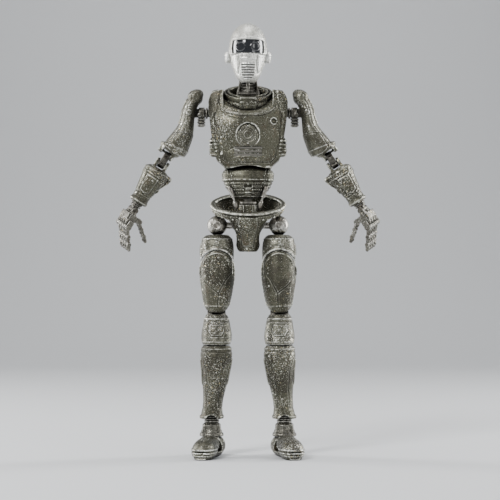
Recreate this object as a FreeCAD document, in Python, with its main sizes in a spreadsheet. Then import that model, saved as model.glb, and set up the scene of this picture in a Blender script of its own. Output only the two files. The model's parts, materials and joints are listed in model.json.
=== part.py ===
"""Posable walking robot figure: every piece modelled at real size, in millimetres.

The robot stands on the floor facing -Y with +Z up, and its own left is +X.
Centre pieces are modelled once. Arm, leg and ear pieces are modelled on the
left and mirrored to the right. Every size is a cell of the sheet "Sizes", and
the features are bound to those cells by expressions.
"""
import FreeCAD, Part
import math
import os
import re
import Sketcher
from FreeCAD import Placement, Rotation, Vector

DOC = FreeCAD.newDocument("walking_robot")
SHEET = DOC.addObject("Spreadsheet::Sheet", "Sizes")
X_AXIS = Vector(1, 0, 0)
Y_AXIS = Vector(0, 1, 0)
Z_AXIS = Vector(0, 0, 1)

# name, value in mm or degrees
SIZES = [
    # whole figure
    ("body_y", 5.0), ("gap", 0.3), ("run_fit", 0.08), ("far", 60.0), ("sky", 360.0), ("bite", 1.0),
    # pelvis bowl and its core
    ("bowl_wall", 2.0), ("rim_side_z", 175.0), ("rim_tilt", 23.0),
    ("leg_cut_x", 26.5), ("leg_cut_z", 150.5), ("leg_cut_r", 18.6),
    ("core_half", 11.0), ("core_low_z", 144.0), ("core_top_z", 167.0), ("core_half_y", 9.0),
    # waist, abdomen
    ("post_r", 5.9), ("post_rib", 0.7), ("post_low_z", 167.6), ("post_top_z", 176.4),
    ("post_pin_r", 2.6), ("post_pin_long", 10.0),
    ("bend_z", 184.0), ("bend_half", 2.5), ("bend_r", 4.0), ("bend_pin_r", 1.5), ("bend_pin_half", 8.0),
    ("buckle_half", 6.2), ("buckle_low_z", 168.6), ("buckle_top_z", 174.0), ("buckle_out", 8.6),
    ("lug_half", 1.1), ("lug_x", 4.0), ("lug_out", 1.3),
    ("crunch_z", 201.5), ("crunch_half", 5.0), ("crunch_r", 4.0), ("crunch_pin_half", 9.0),
    ("crunch_room_y", 6.6), ("tongue_root", 4.0),
    # chest
    ("chest_half_y", 19.0), ("frame_half", 18.0), ("frame_half_y", 11.0),
    ("frame_low_z", 206.5), ("frame_top_z", 244.4), ("frame_hole_r", 6.5),
    ("seam", 0.4), ("cover_z", 222.0), ("cover_r", 8.0), ("cover_rise", 1.8), ("cover_crown", 0.6),
    ("cover_seat", 3.4),
    ("vent_half", 9.5), ("vent_z", 207.6), ("vent_high", 1.2), ("vent_pitch", 2.4),
    ("pod_x", 24.2), ("pod_z", 211.5), ("pod_r", 2.6), ("pod_long", 9.0),
    ("collar_y", 3.0), ("collar_z", 253.4), ("collar_tilt", 21.0), ("collar_r", 16.6),
    ("collar_hole_r", 12.6),
    ("collar_high", 10.5), ("collar_bevel", 1.2), ("notch_half", 6.0), ("notch_deep", 5.0),
    # neck and head
    ("neck_z", 250.0), ("neck_half", 2.8), ("neck_round_r", 3.4), ("neck_pin_r", 1.4),
    ("neck_ear_half", 6.0), ("neck_r", 6.2), ("neck_low_z", 254.6), ("neck_top_z", 262.6),
    ("head_pin_r", 2.2), ("head_pin_long", 9.0), ("neck_socket_r", 7.0),
    ("neck_socket_z", 263.0),
    ("visor_low_z", 278.2), ("visor_top_z", 287.4), ("visor_back_y", -3.5), ("visor_half", 11.2),
    ("visor_inset", 0.8),
    ("jaw_top_z", 277.8), ("jaw_back_y", 0.0), ("ear_z", 276.5), ("ear_r", 4.2),
    ("ear_in_x", 9.5), ("ear_out_x", 16.0), ("ear_step", 1.2),
    # shoulder and upper arm
    ("arm_x", 31.9), ("arm_z", 237.8), ("hub_r", 4.2), ("hub_pin_r", 2.8), ("hub_pin_in_x", 11.0),
    ("raise_x", 40.8), ("raise_half", 2.5), ("raise_r", 3.1), ("raise_pin_r", 1.2), ("raise_pin_half", 7.5),
    ("slot_low", 15.0), ("slot_top", 7.0), ("raise_low", -4.0), ("raise_mid", 8.0), ("raise_high", 20.0),
    # elbow, forearm (measured along the arm)
    ("elbow_x", 58.0), ("elbow_z", 205.3), ("arm_lean", 32.3), ("elbow_step", 3.2),
    ("link_half", 2.3), ("link_r", 3.1), ("elbow_pin_r", 1.1), ("cheek_half", 4.8),
    ("cheek_up", 8.0), ("cheek_down", 7.0), ("boss_out", 4.4),
    # wrist and hand (measured along the arm)
    ("wrist_pin_r", 1.6), ("wrist_pin_long", 6.0), ("wrist_r", 3.9), ("wrist_top", 31.9), ("wrist_low", 34.2),
    ("flex_drop", 37.2), ("flex_half", 1.8), ("flex_r", 2.3), ("flex_pin_r", 0.8),
    ("palm_half", 4.3), ("palm_half_y", 8.6), ("palm_top", 40.0), ("palm_low", 46.6),
    ("palm_ear_half", 4.0), ("knuckle_drop", 49.4), ("knuckle_r", 2.3), ("knuckle_pin_r", 0.65),
    ("hand_turn", -30.0), ("hand_ear_in", 8.05), ("hand_ear_out", 9.1), ("finger_pitch", 4.0),
    ("finger_half", 1.75),
    ("finger_lean", 7.0), ("finger_r", 1.9), ("finger_taper", 0.35),
    ("tip_ease", 0.2), ("first_bone", 7.4), ("next_bone", 5.6), ("tip_bone", 4.6),
    ("thumb_x", -6.0), ("thumb_drop", 42.4), ("thumb_y", -4.2), ("thumb_ear", 1.0), ("thumb_lean", 22.0),
    ("thumb_bone", 6.3),
    # hip and thigh
    ("hip_x", 21.3), ("hip_z", 160.0), ("ball_r", 6.9), ("ball_room", 0.4), ("hip_pin_r", 2.3),
    ("hip_pin_in_x", 3.0),
    ("screw_r", 1.7), ("screw_deep", 1.1), ("stem_r", 2.5), ("stem_low_z", 145.5),
    ("splay_z", 131.3), ("cap_seam_r", 11.4), ("splay_half", 3.0), ("splay_pin_r", 1.7),
    ("splay_pin_half", 9.5), ("splay_arm_half", 4.6), ("splay_ease", 1.4), ("cap_arm_root", 2.0),
    ("guard_thick", 1.6), ("guard_low_z", 103.5),
    ("guard_top_z", 137.0),
    # knee and shin
    ("leg_x", 21.8), ("knee_z", 97.0), ("knee_low_z", 80.0), ("knee_half", 3.0), ("knee_r", 4.0),
    ("knee_pin_r", 1.5), ("knee_cheek_half", 6.3), ("knee_cheek_r", 4.4), ("knee_web_y", 4.6),
    ("knee_bar_long", 8.0), ("knee_ease", 0.2),
    ("cap_hollow_half", 6.5), ("cap_hollow_y", 7.0), ("shin_pocket_r", 5.0),
    # ankle and foot (foot measured from a point on the floor below the ankle)
    ("ankle_x", 25.3), ("ankle_y", 8.5), ("ankle_z", 27.0), ("ankle_half", 2.6), ("ankle_r", 3.6),
    ("ankle_pin_r", 1.4), ("ankle_pin_half", 6.6), ("shin_arch_r", 5.2), ("shin_arch_drop", 3.6),
    ("block_top_z", 22.6), ("block_low_z", 13.8), ("block_top_r", 5.6), ("block_low_r", 8.3),
    ("block_gap", 1.1),
    ("roll_z", 9.6), ("roll_half", 2.4), ("roll_r", 3.2), ("roll_ease", 0.6), ("foot_slot_ease", 3.0),
    ("roll_pin_r", 1.3), ("roll_pin_half", 4.5),
    ("toe_out", 12.0), ("toe_y", -14.0), ("toe_z", 3.8), ("toe_seam_r", 10.3), ("toe_hub_r", 3.1),
    ("toe_hub_half", 5.6), ("toe_pin_r", 1.2), ("toe_pin_half", 8.0), ("toe_lap", 45.0),
    ("toe_rib_y", -32.1), ("toe_rib_z", 1.2), ("toe_rib_high", 0.8), ("toe_rib_pitch", 1.9),
]

# cross sections of the rounded shells, from one end to the other:
# height, half width, half depth, centre x, centre y
PROFILES = {
    "bowl": [(141.7, 5.8, 5.6, 0, 5), (150, 9.0, 8.9, 0, 5), (160, 14.5, 13.5, 0, 5),
             (166, 21.5, 16.5, 0, 5), (175, 25.6, 18.3, 0, 5), (188, 27.0, 19.4, 0, 5)],
    "abdomen": [(179.7, 9.0, 7.0, 0, 5), (187, 15.5, 11.0, 0, 5), (192, 17.3, 12.5, 0, 5),
                (196.2, 17.8, 12.0, 0, 5)],
    "belly_dome": [(195.5, 13.2, 9.2, 0, 5), (200.4, 12.4, 8.6, 0, 5)],
    "belly_pocket": [(190, 14.8, 11.2, 0, 5), (202.8, 14.4, 10.8, 0, 5)],
    "chest_plan": [(197, 23.0, 13.5, 0, 5), (206, 28.5, 17.0, 0, 5), (220, 31.5, 18.6, 0, 5),
                   (236, 32.5, 18.2, 0, 5), (247, 30.0, 15.0, 0, 5), (255, 26.0, 11.4, 0, 5)],
    "head": [(258.4, 4.6, 6.6, 0, -0.5), (263, 8.2, 10.6, 0, 1), (271, 11.2, 14.6, 0, 3),
             (283.5, 13.1, 17.0, 0, 4.3), (292, 11.3, 14.8, 0, 4.8), (297.6, 7.0, 9.4, 0, 5),
             (300, 2.0, 3.0, 0, 5)],
    "upper_arm": [(254.2, 2.2, 4.2, 35.2, 5), (249.5, 4.9, 8.2, 36.0, 5), (240, 5.0, 9.8, 40.6, 5),
                  (232, 5.2, 9.6, 42.2, 5), (222, 6.6, 9.2, 46.2, 5), (213.4, 7.8, 8.5, 50.8, 5),
                  (209.8, 7.4, 7.8, 52.4, 5)],
    "forearm": [(-4.2, 6.2, 6.4, 0, 0), (-8.5, 8.3, 8.4, 0, 0), (-15, 8.0, 8.2, 0, 0),
                (-24, 6.3, 6.8, 0, 0), (-31.5, 5.2, 5.6, 0, 0)],
    "thigh_cap": [(153.6, 6.4, 6.6, 21.4, 5), (151.4, 9.2, 9.4, 21.4, 5), (147, 10.6, 10.8, 21.4, 5),
                  (134, 10.8, 11.0, 21.4, 5)],
    "thigh": [(143, 10.7, 10.9, 21.5, 5), (129, 11.0, 11.4, 21.5, 5), (118, 10.1, 11.0, 21.4, 5),
              (108, 8.6, 9.4, 21.6, 5), (102.6, 7.3, 7.8, 21.8, 5), (99.6, 5.6, 6.2, 21.8, 5)],
    "knee_cap": [(98.6, 7.8, 8.0, 21.8, 5), (97.0, 9.4, 9.6, 21.8, 5), (92, 11.0, 11.2, 21.8, 5),
                 (84, 11.0, 11.4, 21.8, 5),
                 (77.4, 9.6, 10.4, 21.8, 5)],
    "shin": [(76.9, 9.2, 9.6, 21.8, 5), (72.6, 10.9, 11.2, 21.9, 5), (62, 10.3, 10.8, 22.3, 5.3),
             (53, 9.0, 9.4, 22.9, 6), (40.8, 7.1, 7.8, 23.9, 7.4), (31, 7.3, 8.2, 24.9, 8.4),
             (25.8, 8.5, 9.2, 25.3, 8.5)],
    # the foot runs along its own length: distance, half width, half height, centre x, centre height
    "foot": [(13.4, 4.8, 4.6, 0, 5.0), (8, 7.8, 7.6, 0, 6.5), (0, 9.0, 8.9, 0, 6.9),
             (-9, 9.2, 8.6, 0, 5.6), (-19, 9.7, 8.6, 0, 4.7), (-28, 8.9, 7.4, 0, 4.0),
             (-32.8, 5.0, 4.4, 0, 3.2)],
}

# front outline of the chest, right of its middle line: x, z
CHEST_OUTLINE = [(16.0, 198.6), (18.0, 201.0), (22.5, 205.0), (24.0, 214.0), (26.0, 228.0),
                 (27.3, 240.0), (26.5, 244.7), (17.5, 253.6)]

SIZE = dict(SIZES)
NODES = []


# ---------------------------------------------------------------- helpers
def fill_sheet():
    """Write every size into the sheet under its own name."""
    rows = list(SIZES)
    for shape, sections in PROFILES.items():
        for index, section in enumerate(sections, 1):
            for word, value in zip(("high", "wide", "deep", "mid", "back"), section):
                rows.append((f"{shape}_{word}_at_{index}", value))
    for index, (x, z) in enumerate(CHEST_OUTLINE, 1):
        rows.append((f"chest_edge_x_at_{index}", x))
        rows.append((f"chest_edge_z_at_{index}", z))
    for row, (name, value) in enumerate(rows, 1):
        SHEET.set(f"A{row}", name)
        SHEET.set(f"B{row}", str(value))
        SHEET.setAlias(f"B{row}", name)
        SIZE[name] = value
    DOC.recompute()


def expr(text):
    """Turn a sum of size names into an expression on the sheet."""
    return re.sub(r"[a-z_]+[a-z_0-9]*", lambda m: f"Sizes.{m[0]}" if m[0] in SIZE else m[0], str(text))


def value(text):
    """The number that a sum of size names comes to."""
    total = 0.0
    for sign, word in re.findall(r"([+-]?)\s*([a-z_][a-z_0-9]*|[0-9.]+)", str(text)):
        number = SIZE[word] if word in SIZE else float(word)
        total += -number if sign == "-" else number
    return total


def bind(item, **cells):
    for name, text in cells.items():
        item.setExpression(name, expr(text))
    return item


def put(item, x=0, y=0, z=0, turn=None):
    """Place an object at a bound position with a fixed turn."""
    item.Placement = Placement(Vector(0, 0, 0), turn or Rotation())
    for axis, text in zip("xyz", (x, y, z)):
        item.setExpression(f"Placement.Base.{axis}", expr(text))
    return item


def slab(name, x, y, z, turn=None):
    """A box between two x, two y and two z limits."""
    box = DOC.addObject("Part::Box", name)
    bind(box, Length=f"({x[1]}) - ({x[0]})", Width=f"({y[1]}) - ({y[0]})", Height=f"({z[1]}) - ({z[0]})")
    return put(box, x[0], y[0], z[0], turn)


def rod(name, axis, radius, start, end, x=0, y=0, z=0):
    """A round bar along the axis X, Y or Z, from start to end along it."""
    bar = DOC.addObject("Part::Cylinder", name)
    bind(bar, Radius=radius, Height=f"({end}) - ({start})")
    turn = {"X": Rotation(Y_AXIS, 90), "Y": Rotation(X_AXIS, -90), "Z": Rotation()}[axis]
    at = {"X": (start, y, z), "Y": (x, start, z), "Z": (x, y, start)}[axis]
    return put(bar, *at, turn)


def ball(name, radius, x, y, z):
    sphere = DOC.addObject("Part::Sphere", name)
    bind(sphere, Radius=radius)
    return put(sphere, x, y, z)


def cone(name, low_r, top_r, low, top, x=0, y=0):
    item = DOC.addObject("Part::Cone", name)
    bind(item, Radius1=low_r, Radius2=top_r, Height=f"({top}) - ({low})")
    return put(item, x, y, low)


def fuse(name, *parts):
    item = DOC.addObject("Part::MultiFuse", name)
    item.Shapes = list(parts)
    item.Refine = True
    return item


def common(name, first, second):
    item = DOC.addObject("Part::Common", name)
    item.Base, item.Tool = first, second
    return item


def cut(name, base, *tools):
    """Cut one or more tools from a base."""
    tool = tools[0] if len(tools) == 1 else fuse(f"{name}_tools", *tools)
    item = DOC.addObject("Part::Cut", name)
    item.Base, item.Tool = base, tool
    item.Refine = True
    return item


def skin(name, profile, offset="0", lying=False):
    """A rounded solid through the oval sections of a profile, grown by an offset."""
    ovals = []
    for index in range(1, len(PROFILES[profile]) + 1):
        oval = DOC.addObject("Part::Ellipse", f"{name}_oval_{index}")
        wide, deep = f"{profile}_wide_at_{index}", f"{profile}_deep_at_{index}"
        high, mid, back = (f"{profile}_{word}_at_{index}" for word in ("high", "mid", "back"))
        broad = all(s[1] >= s[2] for s in PROFILES[profile])
        major, minor = (wide, deep) if broad else (deep, wide)
        bind(oval, MajorRadius=f"{major} + {offset}", MinorRadius=f"{minor} + {offset}")
        turn = Rotation() if broad else Rotation(Z_AXIS, 90)
        if lying:
            put(oval, mid, high, back, Rotation(X_AXIS, 90).multiply(turn))
        else:
            put(oval, mid, back, high, turn)
        ovals.append(oval)
    item = DOC.addObject("Part::Loft", name)
    item.Sections = ovals
    item.Solid = True
    return item


def origin_plane(body, role):
    return next(f for f in body.Origin.OriginFeatures if f.Role == role)


def outline(body, name, points, plane="XZ_Plane"):
    """A closed sketch through points whose coordinates are sums of size names."""
    sketch = body.newObject("Sketcher::SketchObject", name)
    sketch.AttachmentSupport = [(origin_plane(body, plane), "")]
    sketch.MapMode = "FlatFace"
    count = len(points)
    spots = [Vector(value(x), value(z), 0) for x, z in points]
    for index in range(count):
        sketch.addGeometry(Part.LineSegment(spots[index], spots[(index + 1) % count]))
    for index in range(count):
        sketch.addConstraint(Sketcher.Constraint("Coincident", index, 2, (index + 1) % count, 1))
    for index, (point, spot) in enumerate(zip(points, spots)):
        for kind, text, number, axis in (("DistanceX", point[0], spot.x, -2),
                                         ("DistanceY", point[1], spot.y, -1)):
            if abs(number) < 1e-9:
                sketch.addConstraint(Sketcher.Constraint("PointOnObject", index, 1, axis))
                continue
            which = sketch.addConstraint(Sketcher.Constraint(kind, -1, 1, index, 1, number))
            sketch.setExpression(f"Constraints[{which}]", expr(text))
    DOC.recompute()
    return sketch


def turned(name, points, x=0, y=0, z=0, turn=None):
    """A body turned about its own Z axis from a half outline of (radius, height) points."""
    body = DOC.addObject("PartDesign::Body", name)
    sketch = outline(body, f"{name}_outline", points)
    spin = body.newObject("PartDesign::Revolution", f"{name}_turn")
    spin.Profile = sketch
    spin.ReferenceAxis = (sketch, ["V_Axis"])
    spin.Angle = 360
    put(body, x, y, z, turn)
    DOC.recompute()
    return body


def ribbed(radius, groove, low, top, ribs):
    """Half outline of a bar with equal rings around it, from low to top."""
    points = [("0", low), (radius, low)]
    step = (value(top) - value(low)) / (2 * ribs - 1)
    for index in range(1, 2 * ribs - 1):
        level = f"{low} + {round(step * index, 3)}"
        before, after = (radius, f"{radius} - {groove}") if index % 2 else (f"{radius} - {groove}", radius)
        points += [(before, level), (after, level)]
    return points + [(radius, top), ("0", top)]


def node(name, item):
    """Name a finished piece; its name is also its file name."""
    item.Label = name
    NODES.append((name, item))
    return item


def both_sides(name, item):
    """Keep a left piece and add its mirror image on the right."""
    node(f"left_{name}", item)
    twin = DOC.addObject("Part::Mirroring", f"right_{name}")
    twin.Source = item
    twin.Normal = (1, 0, 0)
    twin.Base = (0, 0, 0)
    node(f"right_{name}", twin)


# ---------------------------------------------------------------- pelvis and waist
def make_pelvis():
    """Open tilted bowl with two leg openings, and the core that bears the hips and waist."""
    outer = skin("bowl_outer", "bowl")
    inner = skin("bowl_inner", "bowl", "0 - bowl_wall")
    above = DOC.addObject("Part::Box", "above_rim")
    bind(above, Length="far * 2", Width="far * 2", Height="far")
    tilt = Rotation(X_AXIS, SIZE["rim_tilt"])
    put(above, "0 - far", "body_y - far * cos(rim_tilt * 1 deg)", "rim_side_z - far * sin(rim_tilt * 1 deg)",
        tilt)
    legs = [rod(f"leg_opening_{side}", "Y", "leg_cut_r", "0 - far", "far", x=x, z="leg_cut_z")
            for side, x in (("a", "leg_cut_x"), ("b", "0 - leg_cut_x"))]
    node("pelvis_shell", cut("bowl", outer, inner, above, *legs))

    block = slab("core_block", ("0 - core_half", "core_half"),
                 ("body_y - core_half_y", "body_y + core_half_y"),
                 ("core_low_z", "core_top_z"))
    inside = skin("core_limit", "bowl", "0 - bowl_wall")
    bores = [rod("core_waist_bore", "Z", "post_pin_r + run_fit", "post_low_z - post_pin_long - gap",
                 "post_low_z",
                 y="body_y")]
    for side, (low, high) in {"a": ("hip_pin_in_x - gap", "far"),
                              "b": ("0 - far", "gap - hip_pin_in_x")}.items():
        bores.append(rod(f"core_hip_bore_{side}", "X", "hip_pin_r + run_fit", low, high, y="body_y",
                         z="hip_z"))
    node("pelvis_core", cut("core", common("core_body", block, inside), *bores))


def make_waist():
    """Ribbed post that twists on the pelvis and carries the abdomen on a round tongue."""
    column = turned("waist_column", ribbed("post_r", "post_rib", "0", "post_top_z - post_low_z", 4),
                    y="body_y", z="post_low_z")
    pin = rod("waist_pin", "Z", "post_pin_r", "post_low_z - post_pin_long", "post_low_z + gap", y="body_y")
    tongue = slab("waist_tongue", ("0 - bend_half", "bend_half"), ("body_y - bend_r", "body_y + bend_r"),
                  ("post_top_z - gap", "bend_z"))
    tip = rod("waist_tip", "X", "bend_r", "0 - bend_half", "bend_half", y="body_y", z="bend_z")
    bore = rod("waist_bore", "X", "bend_pin_r + run_fit", "0 - far", "far", y="body_y", z="bend_z")
    node("waist_post", cut("waist", fuse("waist_solid", column, pin, tongue, tip), bore))

    plate = slab("buckle_plate", ("0 - buckle_half", "buckle_half"), ("body_y - buckle_out", "body_y"),
                 ("buckle_low_z", "buckle_top_z"))
    lugs = [slab(f"buckle_lug_{side}", (f"{x} - lug_half", f"{x} + lug_half"),
                 ("body_y - buckle_out - lug_out", "body_y - buckle_out + gap"),
                 ("buckle_low_z", "buckle_top_z"))
            for side, x in (("a", "lug_x"), ("b", "0 - lug_x"))]
    shaft = rod("buckle_bore", "Z", "post_r", "post_low_z - gap", "post_top_z + gap", y="body_y")
    node("waist_buckle", cut("buckle", fuse("buckle_solid", plate, *lugs), shaft))


def make_abdomen():
    """Tapered abdomen: fork below for the waist tongue, tongue above for the chest."""
    shell = skin("abdomen_shell", "abdomen")
    slot = slab("abdomen_slot", ("0 - bend_half - gap", "bend_half + gap"), ("0 - far", "far"),
                ("post_top_z", "bend_z + bend_r + gap"))
    pin = rod("abdomen_pin", "X", "bend_pin_r", "0 - bend_pin_half", "bend_pin_half", y="body_y", z="bend_z")
    lower = fuse("abdomen_lower", cut("abdomen_fork", shell, slot), pin)
    dome = skin("abdomen_dome", "belly_dome")
    neck = slab("abdomen_tongue", ("0 - crunch_half", "crunch_half"),
                ("body_y - crunch_r", "body_y + crunch_r"),
                ("bend_z + bend_r + tongue_root", "crunch_z"))
    tip = rod("abdomen_tip", "X", "crunch_r", "0 - crunch_half", "crunch_half", y="body_y", z="crunch_z")
    bore = rod("abdomen_bore", "X", "bend_pin_r + run_fit", "0 - far", "far", y="body_y", z="crunch_z")
    node("abdomen", cut("abdomen_body", fuse("abdomen_solid", lower, dome, neck, tip), bore))


# ---------------------------------------------------------------- chest
def collar_turn():
    return Rotation(X_AXIS, SIZE["collar_tilt"])


def chest_solid(name):
    """The chest's outer form: its front outline run through an oval plan."""
    body = DOC.addObject("PartDesign::Body", f"{name}_outline_body")
    right = [(f"chest_edge_x_at_{i}", f"chest_edge_z_at_{i}") for i in range(1, len(CHEST_OUTLINE) + 1)]
    left = [(f"0 - {x}", z) for x, z in reversed(right)]
    sketch = outline(body, f"{name}_outline", right + left)
    pad = body.newObject("PartDesign::Pad", f"{name}_pad")
    pad.Profile = sketch
    pad.setExpression("Length", expr("far * 2"))
    pad.Midplane = True
    DOC.recompute()
    return common(f"{name}_form", body, skin(f"{name}_plan", "chest_plan"))


def collar_seat(name):
    """The tilted round seat that the collar ring drops into."""
    return turned(name, [("0", "0 - collar_high"), ("collar_r", "0 - collar_high"), ("collar_r", "far"),
                         ("0", "far")],
                  y="collar_y", z="collar_z", turn=collar_turn())


def collar_front_room(name):
    """Flat seat cut through the chest's top edge in front of the collar ring."""
    box = DOC.addObject("Part::Box", name)
    bind(box, Length="collar_r * 2", Width="far", Height="far")
    holder = DOC.addObject("Part::Compound", f"{name}_tilted")
    put(box, "0 - collar_r", "0 - far", "0 - collar_high")
    holder.Links = [box]
    return put(holder, "0", "collar_y", "collar_z", collar_turn())


def chest_mouth(name):
    """Room in the chest's underside for the abdomen's rounded top and its tongue."""
    pocket = skin(f"{name}_belly_pocket", "belly_pocket")
    slot = slab(f"{name}_tongue_room", ("0 - crunch_half - gap", "crunch_half + gap"),
                ("body_y - crunch_room_y", "body_y + crunch_room_y"), ("0", "crunch_z + crunch_r + gap"))
    return fuse(f"{name}_mouth", pocket, slot)


def make_chest():
    """Front and back shells closed around an inner frame that bears the neck, arms and waist."""
    form = chest_solid("chest")
    room = slab("chest_room", ("0 - frame_half", "frame_half"),
                ("body_y - frame_half_y", "body_y + frame_half_y"),
                ("frame_low_z", "frame_top_z"))
    mouth = chest_mouth("chest")
    pin = rod("chest_pin", "X", "bend_pin_r", "0 - crunch_pin_half", "crunch_pin_half", y="body_y",
              z="crunch_z")
    arms = rod("arm_openings", "X", "hub_pin_r + gap", "0 - far", "far", y="body_y", z="arm_z")
    pods = [rod(f"pod_seat_{side}", "Y", "pod_r", "body_y - pod_long", "body_y + pod_long", x=x, z="pod_z")
            for side, x in (("a", "pod_x"), ("b", "0 - pod_x"))]
    cover = rod("cover_seat_bore", "Y", "cover_r", "0 - far", "body_y - chest_half_y + cover_seat",
                z="cover_z")
    hollow = cut("chest_hollow", form, room, collar_seat("chest_collar_seat"),
                 collar_front_room("chest_collar_room"), arms, cover, *pods)
    front_half = slab("front_side", ("0 - far", "far"), ("0 - far", "body_y"), ("0", "sky"))
    back_half = slab("back_side", ("0 - far", "far"), ("body_y + seam", "far"), ("0", "sky"))
    vents = vent_bars("vent_seats")
    legs = slab("frame_foot", ("0 - crunch_pin_half", "crunch_pin_half"),
                ("body_y - crunch_r", "body_y + crunch_r"),
                ("frame_low_z - crunch_r - crunch_r", "frame_low_z + gap"))
    node("chest_front", cut("front_shell", common("front_shell_solid", hollow, front_half), vents, mouth,
                            legs))
    node("chest_back", cut("back_shell", common("back_shell_solid", hollow, back_half), mouth, legs))

    feet = cut("frame_feet", legs, chest_mouth("frame"))
    block = slab("frame_block", ("0 - frame_half", "frame_half"),
                 ("body_y - frame_half_y", "body_y + frame_half_y"),
                 ("frame_low_z", "frame_top_z"))
    ears = [slab(f"neck_ear_{side}", (low, high), ("body_y - neck_round_r", "body_y + neck_round_r"),
                 ("frame_top_z - collar_high", "neck_z"))
            for side, low, high in (("a", "neck_half + gap", "neck_ear_half"),
                                    ("b", "0 - neck_ear_half", "0 - neck_half - gap"))]
    rounds = [rod(f"neck_ear_round_{side}", "X", "neck_round_r", low, high, y="body_y", z="neck_z")
              for side, low, high in (("a", "neck_half + gap", "neck_ear_half"),
                                      ("b", "0 - neck_ear_half", "0 - neck_half - gap"))]
    neck_pin = rod("neck_pin", "X", "neck_pin_r", "0 - neck_ear_half", "neck_ear_half", y="body_y",
                   z="neck_z")
    hole = rod("frame_hole", "Y", "frame_hole_r", "0 - far", "far", z="cover_z")
    bores = [rod(f"frame_arm_bore_{side}", "X", "hub_pin_r + run_fit", low, high, y="body_y", z="arm_z")
             for side, low, high in (("a", "hub_pin_in_x - gap", "far"),
                                     ("b", "0 - far", "gap - hub_pin_in_x"))]
    bored = cut("frame_bored", block, hole, collar_seat("frame_collar_seat"),
                collar_front_room("frame_collar_room"), *bores)
    node("chest_frame", fuse("frame", bored, feet, pin, neck_pin, *ears, *rounds))

    bars = common("vent_form", chest_solid("vent"), vent_bars("vent_bars"))
    node("chest_vents", bars)
    disc = turned("cover_disc", [("0", "0"), ("cover_r", "0"), ("cover_r", "cover_rise"),
                                 ("cover_r - cover_rise", "cover_rise + cover_crown"),
                                 ("0", "cover_rise + cover_crown")],
                  y="body_y - chest_half_y + cover_seat", z="cover_z", turn=Rotation(X_AXIS, 90))
    node("chest_cover", disc)
    pods = [rod(f"pod_{side}", "Y", "pod_r", "body_y - pod_long", "body_y + pod_long", x=x, z="pod_z")
            for side, x in (("a", "pod_x"), ("b", "0 - pod_x"))]
    node("side_pods", fuse("pods", *pods))


def vent_bars(name):
    """Three flat bars let into the lower front of the chest."""
    bars = []
    for index in range(3):
        low = f"vent_z + vent_pitch * {index}"
        bars.append(slab(f"{name}_{index}", ("0 - vent_half", "vent_half"),
                         ("0 - far", "body_y - frame_half_y - bite"),
                         (low, f"{low} + vent_high")))
    return fuse(name, *bars)


def make_collar():
    """Tilted ring around the neck with a flat notch in front."""
    ring = turned("ring", [("collar_hole_r", "0 - collar_high"), ("collar_r", "0 - collar_high"),
                           ("collar_r", "0 - collar_bevel"), ("collar_r - collar_bevel", "0"),
                           ("collar_hole_r", "0")],
                  y="collar_y", z="collar_z", turn=collar_turn())
    notch = slab("ring_notch", ("0 - notch_half", "notch_half"),
                 ("0 - far", "collar_y - collar_hole_r + collar_bevel"),
                 ("collar_z - notch_deep", "sky"))
    node("collar_ring", cut("collar", ring, notch))


# ---------------------------------------------------------------- neck and head
def make_neck():
    """Ringed neck that pitches in the collar and bears the head on an upright pin."""
    column = turned("neck_column", ribbed("neck_r", "post_rib", "0", "neck_top_z - neck_low_z", 4),
                    y="body_y", z="neck_low_z")
    tongue = slab("neck_tongue", ("0 - neck_half", "neck_half"),
                  ("body_y - neck_round_r", "body_y + neck_round_r"),
                  ("neck_z", "neck_low_z + gap"))
    tip = rod("neck_tip", "X", "neck_round_r", "0 - neck_half", "neck_half", y="body_y", z="neck_z")
    pin = rod("head_pin", "Z", "head_pin_r", "neck_top_z - gap", "neck_top_z + head_pin_long", y="body_y")
    bore = rod("neck_bore", "X", "neck_pin_r + run_fit", "0 - far", "far", y="body_y", z="neck_z")
    node("neck", cut("neck_body", fuse("neck_solid", column, tongue, tip, pin), bore))


def make_head():
    """Smooth cranium with a dark sensor window, a louvred jaw and round ear discs."""
    solid = skin("head_solid", "head")
    window = slab("window_zone", ("0 - visor_half", "visor_half"), ("0 - far", "visor_back_y"),
                  ("visor_low_z", "visor_top_z"))
    mouth = slab("jaw_zone", ("0 - far", "far"), ("0 - far", "jaw_back_y"), ("0", "jaw_top_z"))
    ears = [rod(f"ear_seat_{side}", "X", "ear_r", low, high, y="body_y", z="ear_z")
            for side, low, high in (("a", "ear_in_x", "far"), ("b", "0 - far", "0 - ear_in_x"))]
    socket = [rod("head_bore", "Z", "head_pin_r + run_fit", "0", "neck_top_z + head_pin_long + gap",
                  y="body_y"),
              rod("neck_room", "Z", "neck_socket_r", "0", "neck_socket_z", y="body_y")]
    node("head_shell", cut("head", solid, window, mouth, *ears, *socket))
    node("visor", common("visor_form", skin("visor_solid", "head", "0 - visor_inset"), window))
    room = rod("jaw_room", "Z", "neck_socket_r", "0", "neck_socket_z", y="body_y")
    node("jaw", cut("jaw_form", common("jaw_solid", skin("jaw_skin", "head"), mouth), room))
    disc = turned("ear_disc", [("0", "0"), ("ear_r", "0"), ("ear_r", "ear_out_x - ear_in_x - ear_step"),
                               ("ear_r - ear_step", "ear_out_x - ear_in_x"), ("0", "ear_out_x - ear_in_x")],
                  x="ear_in_x", y="body_y", z="ear_z", turn=Rotation(Y_AXIS, 90))
    both_sides("ear_disc", disc)


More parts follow.
